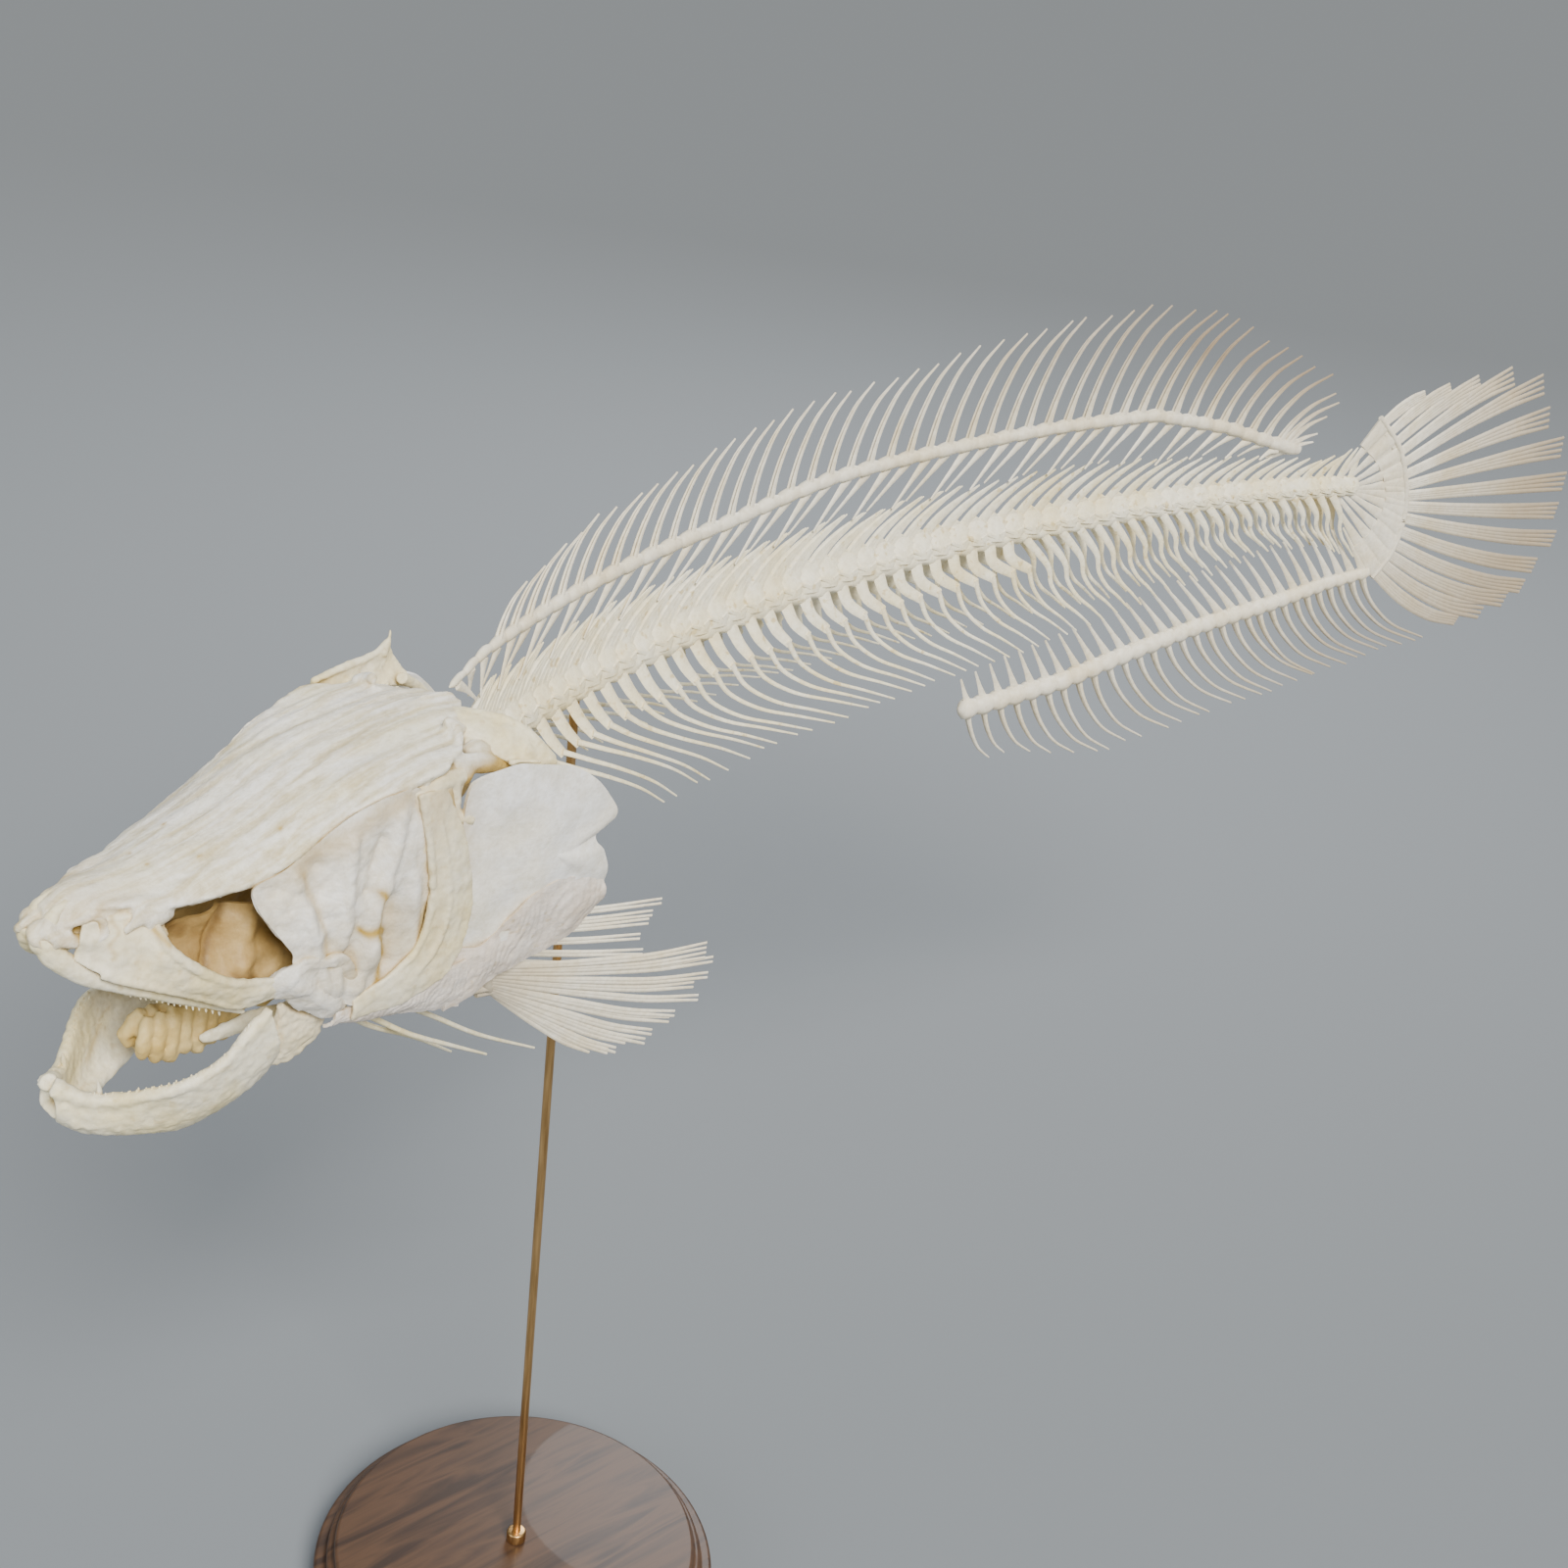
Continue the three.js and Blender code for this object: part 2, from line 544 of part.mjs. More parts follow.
// The row of neural arches, with spines that lean back one over the other.
function makeNeuralSpines(name, first, last) {
  const steps = last - first;
  const [start, end] = lengthEnds(first, last);
  const rings = [];
  for (let i = 0; i <= steps; i += 1) {
    const s = lerp(start, end, i / steps);
    const radius = graph(vertebraRadii, s);
    const low = radius * archFloor + gap;
    const high = radius * archTop;
    rings.push([[0.62, low], [0.26, high], [-0.26, high], [-0.62, low]]
      .map(([left, up]) => body(s, left * radius, up)));
  }
  const shoots = rings.map(() => ({}));
  for (let step = 0; step < steps; step += 1) {
    const s = lerp(start, end, (step + 0.5) / steps);
    const height = graph([[0, 22], [0.15, 25], [0.6, 24], [0.8, 18], [0.9, 14], [0.97, 19], [1, 21]], s);
    const lean = graph([[0, 16], [0.15, 22], [0.6, 26], [0.8, 22], [0.93, 19], [1, 2]], s) / columnLength;
    const tip = body(s + lean, 0, height);
    shoots[step][1] = shootRings(facetOf(rings, step, 1), backAt(s), [tip], [[0.5, 0.45]]);
  }
  addPiece(`neural_spines_${name}`, boneFinish, solid(grownBeam(rings, shoots)));
}

function makeBackbone(name, first, last) {
  makeNeuralSpines(name, first, last);
  bothSides((sideName, side) => makeRibs(name, sideName, side, first, last));
}

// ---- Dorsal and anal fins ------------------------------------------------------------
const dorsal = {
  name: 'dorsal_fin',
  rays: dorsalRays,
  from: -0.006,
  to: 0.895,
  outward: 1,
  base: [[-0.01, 30.5], [0.03, 33.5], [0.16, 35.9], [0.3, 37.4], [0.4, 41.5], [0.62, 41.6],
    [0.72, 40.8], [0.76, 36.8], [0.81, 31.8], [0.85, 26.2], [0.9, 20.2]],
  tip: [[0.06, 48.5], [0.125, 58.7], [0.2, 62], [0.324, 71], [0.457, 76], [0.55, 82], [0.645, 86],
    [0.74, 77], [0.808, 61], [0.845, 53.5], [0.872, 47], [0.882, 40], [0.889, 33], [0.895, 23]],
  sweep: [[0.06, 0.038], [0.1, 0.046], [0.2, 0.04], [0.37, 0.036], [0.64, 0.054], [0.81, 0.062],
    [0.87, 0.072], [0.885, 0.06], [0.895, 0.03]],
  bareBeads: 3, // beads at the front that bear no ray
  bearer: [[0, 11], [0.1, 18], [0.75, 18], [0.8, 12], [0.85, 7.5], [0.9, 4.2]],
  ahead: [[0, 0], [0.1, 0.034], [0.8, 0.034], [0.9, 0.02]],
  aside: 2.8,
};
const anal = {
  name: 'anal_fin',
  rays: analRays,
  from: 0.56,
  to: 1.052,
  outward: -1,
  base: [[0.55, -72], [0.59, -71.7], [0.66, -69.8], [0.74, -62.4], [0.82, -55.5], [0.92, -48.9],
    [1, -42], [1.06, -38.5]],
  tip: [[0.576, -97], [0.646, -108], [0.708, -102], [0.76, -97], [0.816, -93.5], [0.858, -89.5],
    [0.952, -79], [1.026, -75], [1.052, -72]],
  sweep: [[0.576, 0.03], [0.646, 0.072], [0.708, 0.084], [0.76, 0.098], [0.816, 0.115], [0.952, 0.13],
    [1.026, 0.142]],
  bareBeads: 0,
  bearer: [[0.56, 14], [0.62, 20], [0.8, 21], [0.95, 24], [1.06, 22]],
  ahead: [[0.56, 0.01], [0.616, 0.018], [0.69, 0.03], [0.87, 0.055], [1.06, 0.05]],
  aside: 0,
};
const beadHalf = [2.3, 1.9]; // half width of the row at a bead and between two
const rowHeight = 5.2;
const rowInside = 0.6; // share of the row's height on the backbone's side of its base line

// A length of a median fin: a beaded row, with a ray on each bead and the slender bone that
// bears it on the other side, leaning to alternate sides past the tips of the spines.
function makeMedianFin(fin, name, firstRay, lastRay) {
  const spacing = (fin.to - fin.from) / (fin.rays - 1);
  const clear = gap / 2 / columnLength;
  const start = fin.from + (firstRay - 0.5) * spacing + clear;
  const end = fin.from + (lastRay + 0.5) * spacing - clear;
  const steps = (lastRay - firstRay + 1) * 2;
  const rings = [];
  for (let i = 0; i <= steps; i += 1) {
    const s = lerp(start, end, i / steps);
    const half = beadHalf[(i + 1) % 2];
    const near = graph(fin.base, s) - fin.outward * rowHeight * rowInside;
    const far = near + fin.outward * rowHeight * (i % 2 === 0 ? 0.8 : 1);
    rings.push([[half, near], [half, far], [-half, far], [-half, near]].map(([left, up]) => body(s, left, up)));
  }
  const shoots = rings.map(() => ({}));
  for (let ray = firstRay; ray <= lastRay; ray += 1) {
    const step = (ray - firstRay) * 2;
    const s = lerp(start, end, (step + 0.5) / steps);
    const reach = graph(fin.sweep, s);
    const tip = body(s + reach, 0, graph(fin.tip, s));
    const back = backAt(s);
    if (ray >= fin.bareBeads) {
      shoots[step][1] = shootRings(facetOf(rings, step, 1), back, [tip], [[rayRadius, rayRadius * 0.8]]);
    }
    const lean = ray % 2 === 0 ? fin.aside : -fin.aside;
    const inward = graph(fin.base, s) - fin.outward * graph(fin.bearer, s);
    const foot = body(Math.max(s - graph(fin.ahead, s), 0.016), lean, inward);
    shoots[step][3] = shootRings(facetOf(rings, step, 3), back, [foot], [[0.5, 0.4]]);
  }
  addPiece(`${fin.name}_${name}`, rayFinish, solid(grownBeam(rings, shoots)));
}

// ---- Tail fin ------------------------------------------------------------------------
const fanEdge = [[1.014, 31], [1.055, 18], [1.08, 3], [1.093, -11], [1.09, -28], [1.068, -40]];
const caudalTips = [[1.05, 38], [1.15, 46], [1.24, 47.5], [1.315, 27], [1.353, -1], [1.368, -25],
  [1.358, -48], [1.305, -58], [1.235, -65]];
const fanHalf = 0.8; // half the fan's thickness

// The fan of flat bones behind the last vertebra, with the tail's rays on its edge.
function makeTailFin() {
  const edge = new THREE.CatmullRomCurve3(fanEdge.map(([s, up]) => body(s, 0, up)));
  const tips = new THREE.CatmullRomCurve3(caudalTips.map(([s, up]) => body(s, 0, up)));
  const { left, up } = axesOf(spineHeading(1), spinePitch(1));
  const rings = [];
  for (let i = 0; i <= caudalRays; i += 1) {
    const t = i / caudalRays;
    const inner = body(1.007, 0, lerp(3, -3, t));
    const outer = edge.getPoint(t);
    rings.push([[inner, 1], [outer, 1], [outer, -1], [inner, -1]]
      .map(([point, side]) => point.clone().addScaledVector(left, side * fanHalf)));
  }
  const shoots = rings.map(() => ({}));
  for (let ray = 0; ray < caudalRays; ray += 1) {
    const facet = facetOf(rings, ray, 1);
    const end = tips.getPoint(ray / (caudalRays - 1));
    const middle = facet[0].clone().add(facet[2]).multiplyScalar(0.5).lerp(end, 0.25);
    shoots[ray][1] = shootRings(facet, up.clone().negate(), [middle, end], [[1.9, 0.8], [3, 0.5]]);
  }
  addPiece('tail_fin', rayFinish, solid(grownBeam(rings, shoots)));
}

// ---- Pectoral fins -------------------------------------------------------------------
const pectoralTips = { // from the upper ray to the lower one: the right fin is swept in and back
  left: [[-69, 51, -68], [-74, 49, -80], [-72, 45, -95], [-62, 41, -105], [-48, 38, -107], [-34, 35, -104]],
  right: [[-93, -8, -81], [-96, -8, -90], [-91, -6, -97], [-80, -4, -104], [-66, 0, -108], [-52, 4, -108]],
};
const pectoralSag = { left: 2, right: 9 }; // how far the middle of a ray hangs below its chord
const pectoralRoot = [[4, 28, -54], [0, 28, -60], [-3, 26, -65], [-4, 24, -70]];

function makePectoralFin(name, side) {
  const root = new THREE.CatmullRomCurve3(headPoints(pectoralRoot, side));
  const tips = new THREE.CatmullRomCurve3(headPoints(pectoralTips[name], side));
  const forward = headAxes.back.clone().negate();
  const rings = [];
  for (let i = 0; i <= pectoralRays; i += 1) {
    const centre = root.getPoint(i / pectoralRays);
    rings.push([[1.5, 1], [-1.5, 1], [-1.5, -1], [1.5, -1]]
      .map(([ahead, out]) => centre.clone().addScaledVector(forward, ahead).addScaledVector(headLeft, side * out)));
  }
  const shoots = rings.map(() => ({}));
  for (let ray = 0; ray < pectoralRays; ray += 1) {
    const end = tips.getPoint(ray / (pectoralRays - 1));
    const middle = root.getPoint((ray + 0.5) / pectoralRays).lerp(end, 0.5)
      .addScaledVector(headUp, -pectoralSag[name]);
    shoots[ray][1] = shootRings(facetOf(rings, ray, 1), headUp.clone().negate(), [middle, end],
      [[0.6, 0.5], [0.45, 0.35]]);
  }
  addPiece(`pectoral_fin_${name}`, rayFinish, solid(grownBeam(rings, shoots)));
}

makeStand();
makeCranium();
bothSides(makeUpperJaw);
bothSides(makeLowerJaw);
bothSides(makeCheek);
bothSides(makeGillCover);
bothSides(makeHyoid);
makeGillArches();
bothSides(makeShoulder);
bothSides(makePectoralFin);
makeBackbone('front', 0, 18);
makeBackbone('middle', 18, 36);
makeBackbone('rear', 36, vertebraCount);
makeMedianFin(dorsal, 'front', 0, 15);
makeMedianFin(dorsal, 'middle', 16, 31);
makeMedianFin(dorsal, 'rear', 32, dorsalRays - 1);
makeMedianFin(anal, 'front', 0, 14);
makeMedianFin(anal, 'rear', 15, analRays - 1);
makeTailFin();

export default group;
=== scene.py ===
# %% [markdown]
# # A mounted skeleton of a northern snakehead
# A museum preparator boils and cleans a fish, bleaches its bones and puts them together again on
# a brass rod. This lesson dresses such a mount bone by bone. The solids of the model are already
# in place, in metres, and each one is replaced here by a finer piece that sits where it sits.

# %% Load the solids
import math
import bpy
import numpy as np
from mathutils import Matrix, Vector, noise


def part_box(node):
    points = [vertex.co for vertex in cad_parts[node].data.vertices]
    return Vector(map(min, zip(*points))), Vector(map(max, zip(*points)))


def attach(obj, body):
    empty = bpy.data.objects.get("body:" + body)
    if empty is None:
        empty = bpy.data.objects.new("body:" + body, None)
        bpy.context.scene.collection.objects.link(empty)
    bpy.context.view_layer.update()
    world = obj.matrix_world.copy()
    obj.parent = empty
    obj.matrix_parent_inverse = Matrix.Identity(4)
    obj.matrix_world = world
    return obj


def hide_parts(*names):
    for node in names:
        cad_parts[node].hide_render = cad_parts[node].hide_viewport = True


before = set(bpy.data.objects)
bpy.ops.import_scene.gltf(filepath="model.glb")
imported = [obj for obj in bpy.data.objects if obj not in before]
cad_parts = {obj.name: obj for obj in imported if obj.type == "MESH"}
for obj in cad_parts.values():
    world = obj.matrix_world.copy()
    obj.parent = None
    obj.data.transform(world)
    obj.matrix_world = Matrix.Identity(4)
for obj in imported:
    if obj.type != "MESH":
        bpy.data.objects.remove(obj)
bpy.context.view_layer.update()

MM = 0.001

# %% [markdown]
# ## Lines that the whole skeleton follows
# The backbone swings from side to side, as in a swimming fish, so each bone's place is given as a
# share of the backbone's length, then millimetres to the fish's left and up. The bones of the head
# are given in millimetres ahead of the first vertebra, to the left and up. Both are worked out
# here from a heading and a pitch, because a bone is easier to place along the fish than in the room.

# %% Values that vary along a line
def graph(pairs, place):
    """Reads a list of (place, value) pairs at one place or at many."""
    return np.interp(place, [pair[0] for pair in pairs], [pair[1] for pair in pairs])


def evenly(values, t):
    """Reads evenly spaced values at share t of their length."""
    return np.interp(t, np.linspace(0, 1, len(values)), values)


def unit(vectors):
    vectors = np.asarray(vectors, float)
    return vectors / np.linalg.norm(vectors, axis=-1, keepdims=True)


def dot(a, b):
    return np.sum(np.asarray(a) * np.asarray(b), axis=-1, keepdims=True)


# %% The backbone's line
VERTEBRAE = 54
COLUMN_LENGTH = 453
ROD_PLACE = 0.148  # share of the backbone that lies ahead of the rod
TAIL_STRETCH = 0.8  # how much a share of the length counts behind the last vertebra
ROD_GAP = 0.3  # between the rod's tip and the vertebra over it
VERTEBRA_LENGTHS = [(0, 0.75), (0.2, 1), (0.6, 1), (1, 0.75)]
VERTEBRA_RADII = [(0, 4.4), (0.3, 4.5), (0.6, 3.6), (0.85, 2.7), (1, 2.3)]


def spine_heading(s):
    return np.radians(24.6 - 78.7 * s + 43.6 * s * s)


def spine_pitch(s):
    return np.radians(3.9 + 4.4 * s - 11.3 * s * s)


def axes_of(heading, pitch):
    """The directions tailwards, up and to the fish's left."""
    back = np.stack([np.cos(pitch) * np.cos(heading), np.cos(pitch) * np.sin(heading), np.sin(pitch)], -1)
    up = unit(np.array([0, 0, 1]) - back * back[..., 2:])
    left = np.cross(back, up)
    return back, up, left


STEPS = VERTEBRAE * 4
shares = (np.arange(STEPS) + 0.5) / STEPS
step_lengths = graph(VERTEBRA_LENGTHS, shares)
step_lengths *= COLUMN_LENGTH / step_lengths.sum()
step_backs = axes_of(spine_heading(shares), spine_pitch(shares))[0]
stations = np.vstack([np.zeros(3), np.cumsum(step_backs * step_lengths[:, None], axis=0)])


def spine_point(s):
    places = np.linspace(0, 1, STEPS + 1)
    return np.stack([np.interp(s, places, stations[:, axis]) for axis in range(3)], -1)


rod_low, rod_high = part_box("stand_rod")
COLUMN_HEIGHT = rod_high.z / MM + graph(VERTEBRA_RADII, ROD_PLACE) + ROD_GAP
over_rod = spine_point(ROD_PLACE)
spine_start = np.array([-over_rod[0], -over_rod[1], COLUMN_HEIGHT - over_rod[2]])


def body(s, left, up):
    """A point beside the backbone, in millimetres."""
    s, left, up = np.broadcast_arrays(np.asarray(s, float), left, up)
    inside = np.clip(s, 0, 1)
    back, upward, leftward = axes_of(spine_heading(inside), spine_pitch(inside))
    beyond = (s - inside) * COLUMN_LENGTH * np.where(s > 1, TAIL_STRETCH, 1)
    point = spine_point(inside) + spine_start + back * beyond[..., None]
    return point + leftward * left[..., None] + upward * up[..., None]


print("the backbone passes over the rod at", COLUMN_HEIGHT, "mm")

# %% The head's frame
HEAD_TURN, HEAD_PITCH, HEAD_ROLL = math.radians(8.3), math.radians(-0.5), math.radians(2)
head_back, level_up, level_left = axes_of(HEAD_TURN, HEAD_PITCH)
head_up = level_up * math.cos(HEAD_ROLL) + np.cross(head_back, level_up) * math.sin(HEAD_ROLL)
head_left = level_left * math.cos(HEAD_ROLL) + np.cross(head_back, level_left) * math.sin(HEAD_ROLL)


def head(x, y, z):
    """A point of the head, in millimetres ahead of the first vertebra, to the left and up."""
    x, y, z = (np.asarray(value, float)[..., None] for value in (x, y, z))
    return spine_start - head_back * x + head_left * y + head_up * z


def head_points(rows, side=1):
    rows = np.array(rows, float)
    return head(rows[:, 0], rows[:, 1] * side, rows[:, 2])


# %% [markdown]
# ## Camera, floor and light
# The camera looks down on the fish's left side from a little ahead. Its place is measured from the
# foot of the rod. The floor is one grey sheet, darker than the bones. A wide, soft sun lights the
# side that the camera sees, so that near and far bones are equally bright. A cooler fill comes from
# ahead of the fish, and a rim light lifts the thin bones off the floor.

# %% Camera
LENS, SENSOR = 54, 36
CAMERA_PLACE = Vector((-431.98, -557.79, 735.24)) * MM
CAMERA_TURN = math.radians(46.4)  # from +X towards +Y
CAMERA_TILT = math.radians(-27)
CAMERA_ROLL = math.radians(6.7)

forward = Vector((math.cos(CAMERA_TURN) * math.cos(CAMERA_TILT),
                  math.sin(CAMERA_TURN) * math.cos(CAMERA_TILT), math.sin(CAMERA_TILT)))
level_right = forward.cross(Vector((0, 0, 1))).normalized()
camera_right = (Matrix.Rotation(-CAMERA_ROLL, 3, forward) @ level_right).normalized()
camera_up = camera_right.cross(forward)

bpy.ops.object.select_all(action="DESELECT")
bpy.ops.object.camera_add(location=CAMERA_PLACE)
camera = bpy.context.active_object
camera.name = "camera"
camera.data.lens = LENS
camera.data.sensor_width = SENSOR
camera.data.clip_end = 100
camera.rotation_mode = "QUATERNION"
camera.rotation_quaternion = Matrix((camera_right, camera_up, -forward)).transposed().to_quaternion()
bpy.context.scene.camera = camera
print("the camera stands", round(CAMERA_PLACE.z, 3), "m above the floor")

# %% Nodes and sockets
def new_material(name):
    """A material with its shader, and a helper that adds nodes and links them."""
    material = bpy.data.materials.new(name)
    material.use_nodes = True
    tree = material.node_tree
    shader = tree.nodes["Principled BSDF"]

    def add(kind, inputs=(), **settings):
        node = tree.nodes.new(kind)
        for setting, value in settings.items():
            setattr(node, setting, value)
        for socket, value in dict(inputs).items():
            if isinstance(value, bpy.types.NodeSocket):
                tree.links.new(value, node.inputs[socket])
            else:
                node.inputs[socket].default_value = value
        return node

    return material, shader, add, tree.links.new


def colour(red, green, blue):
    return (red, green, blue, 1)


def ramp(add, factor, stops):
    """A colour ramp: stops are (place, colour)."""
    node = add("ShaderNodeValToRGB", {"Fac": factor})
    elements = node.color_ramp.elements
    while len(elements) < len(stops):
        elements.new(0.5)
    for element, (place, value) in zip(elements, stops):
        element.position = place
        element.color = value
    return node.outputs["Color"]


def mixed(add, factor, first, second, blend="MIX"):
    node = add("ShaderNodeMix", data_type="RGBA", blend_type=blend)
    for socket, value in ((node.inputs[0], factor), (node.inputs[6], first), (node.inputs[7], second)):
        if isinstance(value, bpy.types.NodeSocket):
            node.id_data.links.new(value, socket)
        else:
            socket.default_value = value
    return node.outputs[2]


# %% Floor
FLOOR_SIZE = 60  # metres, so that it fills the camera's picture
FLOOR_DROP = 0.0002  # keeps it clear of the base's underside
floor_material, floor_shader, add, link = new_material("studio_floor")
floor_shader.inputs["Base Color"].default_value = colour(0.19, 0.207, 0.222)
floor_shader.inputs["Roughness"].default_value = 0.85
bpy.ops.object.select_all(action="DESELECT")
bpy.ops.mesh.primitive_plane_add(size=FLOOR_SIZE, location=(0, 0, -FLOOR_DROP))
floor = bpy.context.active_object
floor.name = "studio_floor"
floor.data.materials.append(floor_material)

# %% Lights
AIM = Vector((0.1, 0, 0.4))


def turned_to_aim(light, place):
    light.rotation_mode = "QUATERNION"
    light.rotation_quaternion = (AIM - Vector(place)).to_track_quat("-Z", "Y")


def area_light(name, place, size, power, tint):
    bpy.ops.object.light_add(type="AREA", location=place)
    light = bpy.context.active_object
    light.name = name
    light.data.shape = "DISK"
    light.data.size = size
    light.data.energy = power
    light.data.color = tint
    turned_to_aim(light, place)
    return light


KEY_PLACE = (-0.45, -1.6, 1.9)
bpy.ops.object.light_add(type="SUN", location=KEY_PLACE)
key_light = bpy.context.active_object
key_light.name = "key_light"
key_light.data.energy = 5.6
key_light.data.angle = math.radians(24)
key_light.data.color = (1, 0.97, 0.92)
turned_to_aim(key_light, KEY_PLACE)
area_light("fill_light", (-1.7, 0.2, 0.9), 1.2, 12, (0.86, 0.92, 1))
area_light("rim_light", (1.2, 0.9, 1.2), 0.8, 18, (0.95, 0.97, 1))
world = bpy.data.worlds.new("studio")
world.use_nodes = True
world.node_tree.nodes["Background"].inputs["Color"].default_value = colour(0.82, 0.87, 0.92)
world.node_tree.nodes["Background"].inputs["Strength"].default_value = 0.23
bpy.context.scene.world = world

# %% [markdown]
# ## Finishes
# Cleaned bone is ivory and warmer where fat has stayed in it. Each finish mixes a few soft patterns
# and pulls its colour towards the stain colour where ambient occlusion is high: painted shade in
# crevices and between parts, together with the ochre that the cracks really have. Each finish also
# reads a vertex attribute that the pieces set where the real bone is brown, at seams and the tips
# of the rays, and where painted shade goes: under the roof, on the inside walls of the eye socket,
# in holes and hollows. Fine grain goes into the bump.

# %% Bone finishes
def bone_finish(name, clean, warm, stain_and_shade, rough, grain=0.25, crevice_shade=0.55, fibres=0.0, specks=0.0):
    """A bone shader. fibres draws fine streaks along the head, and specks are small brown pores."""
    material, shader, add, link = new_material(name)
    place = add("ShaderNodeTexCoord").outputs["Object"]
    clouds = add("ShaderNodeTexNoise", {"Vector": place, "Scale": 45, "Detail": 4, "Roughness": 0.6})
    blotch = ramp(add, clouds.outputs["Fac"], [(0.40, colour(0, 0, 0)), (0.66, colour(1, 1, 1))])
    base = mixed(add, blotch, clean, warm)
    fine = add("ShaderNodeTexNoise", {"Vector": place, "Scale": 420, "Detail": 5, "Roughness": 0.65})
    freckle = ramp(add, fine.outputs["Fac"], [(0.35, colour(0.86, 0.84, 0.80)), (0.6, colour(1, 1, 1))])
    base = mixed(add, 1.0, base, freckle, "MULTIPLY")
    relief = fine.outputs["Fac"]
    if fibres:
        turned = add("ShaderNodeMapping", {"Vector": place, "Rotation": (0, 0, -HEAD_TURN)})
        drawn = add("ShaderNodeMapping", {"Vector": turned.outputs["Vector"], "Scale": (0.07, 1, 0.5)})
        strand = add("ShaderNodeTexNoise", {"Vector": drawn.outputs["Vector"], "Scale": 330, "Detail": 6,
                                            "Roughness": 0.62, "Distortion": 0.25})
        streak = ramp(add, strand.outputs["Fac"],
                      [(0.36, colour(0.74, 0.66, 0.48)), (0.56, colour(1, 1, 1))])
        base = mixed(add, fibres, base, mixed(add, 1.0, base, streak, "MULTIPLY"))
        summed = add("ShaderNodeMath", {0: relief, 1: strand.outputs["Fac"]}, operation="ADD")
        relief = summed.outputs["Value"]
    # Painted shade: where ambient occlusion is high, in crevices and between parts, the colour is pulled
    # towards the stain colour; this also gives the cracks the ochre they really have.
    hollow_shade = add("ShaderNodeAmbientOcclusion", {"Distance": 0.006}, samples=6, inside=False)
    depth = add("ShaderNodeMapRange", {"Value": hollow_shade.outputs["AO"], "From Min": 0.25, "From Max": 0.8,
                                       "To Min": crevice_shade, "To Max": 0.0})
    base = mixed(add, depth.outputs["Result"], base, stain_and_shade)
    if specks:
        pores = add("ShaderNodeTexNoise", {"Vector": place, "Scale": 300, "Detail": 2})
        pore = ramp(add, pores.outputs["Fac"],
                    [(0.62, colour(0, 0, 0)), (0.70, colour(specks, specks, specks))])
        base = mixed(add, pore, base, stain_and_shade)
    # This attribute holds real brown stains and, on the skull, palate and cheek, painted shade.
    mark = add("ShaderNodeAttribute", attribute_name="stain_and_shade")
    base = mixed(add, mark.outputs["Fac"], base, stain_and_shade)
    link(base, shader.inputs["Base Color"])
    polish = add("ShaderNodeMapRange", {"Value": clouds.outputs["Fac"],
                                        "To Min": rough - 0.08, "To Max": rough + 0.12})
    link(polish.outputs["Result"], shader.inputs["Roughness"])
    pores = add("ShaderNodeTexNoise", {"Vector": place, "Scale": 900, "Detail": 3})
    both = add("ShaderNodeMath", {0: relief, 1: pores.outputs["Fac"]}, operation="ADD")
    bump = add("ShaderNodeBump", {"Strength": grain, "Distance": 0.0005, "Height": both.outputs["Value"]})
    link(bump.outputs["Normal"], shader.inputs["Normal"])
    shader.inputs["Specular IOR Level"].default_value = 0.3
    return material


IVORY, WARM, OCHRE = colour(0.91, 0.86, 0.68), colour(0.85, 0.75, 0.44), colour(0.47, 0.30, 0.05)
FINISHES = {
    "bone": bone_finish("bone", IVORY, WARM, OCHRE, 0.5, specks=0.25),
    "skull": bone_finish("skull", colour(0.94, 0.92, 0.85), colour(0.88, 0.83, 0.64), OCHRE,
                         0.46, grain=0.6, crevice_shade=0.6, fibres=0.9),
    "backbone": bone_finish("backbone", colour(0.97, 0.92, 0.74), colour(0.93, 0.82, 0.52),
                            colour(0.60, 0.45, 0.16), 0.55, grain=0.4, crevice_shade=0.4, specks=0.6),
    # Painted shade: the palate's dark browns are partly its own ochre and partly the shade inside the eye
    # socket.
    "mouth_with_painted_shade": bone_finish("mouth_with_painted_shade", colour(0.57, 0.40, 0.16), colour(0.42, 0.26, 0.08),
                         colour(0.14, 0.075, 0.02), 0.5, grain=0.3, crevice_shade=0.6),
    "gills": bone_finish("gills", colour(0.82, 0.69, 0.38), colour(0.68, 0.50, 0.18), OCHRE,
                         0.5, grain=0.3, crevice_shade=0.6),
    "skin": bone_finish("dried_skin", colour(0.88, 0.82, 0.76), colour(0.78, 0.68, 0.58), OCHRE,
                        0.5, grain=0.5, specks=0.3),
    "cheek": bone_finish("cheek_bone", colour(0.90, 0.88, 0.82), colour(0.76, 0.69, 0.54), OCHRE,
                         0.46, grain=0.5, crevice_shade=0.8, fibres=0.25),
    "thin_bone": bone_finish("thin_bone", colour(0.95, 0.95, 0.93), colour(0.90, 0.86, 0.74), OCHRE,
                             0.4, grain=0.35),
    "fin_rays": bone_finish("fin_rays", colour(0.92, 0.87, 0.73), colour(0.86, 0.76, 0.55),
                            colour(0.33, 0.25, 0.16), 0.5, grain=0.2, crevice_shade=0.3)}
print("finishes:", ", ".join(FINISHES))

# %% Brass and wood
brass, shader, add, link = new_material("rod")
place = add("ShaderNodeTexCoord").outputs["Object"]
stretch = add("ShaderNodeMapping", {"Vector": place, "Scale": (1, 1, 0.06)})
tarnish = add("ShaderNodeTexNoise", {"Vector": stretch.outputs["Vector"], "Scale": 900, "Detail": 4})
link(ramp(add, tarnish.outputs["Fac"], [(0.3, colour(0.45, 0.26, 0.10)), (0.7, colour(0.72, 0.46, 0.20))]),
     shader.inputs["Base Color"])
rough = add("ShaderNodeMapRange", {"Value": tarnish.outputs["Fac"], "To Min": 0.25, "To Max": 0.5})
link(rough.outputs["Result"], shader.inputs["Roughness"])
shader.inputs["Metallic"].default_value = 1.0

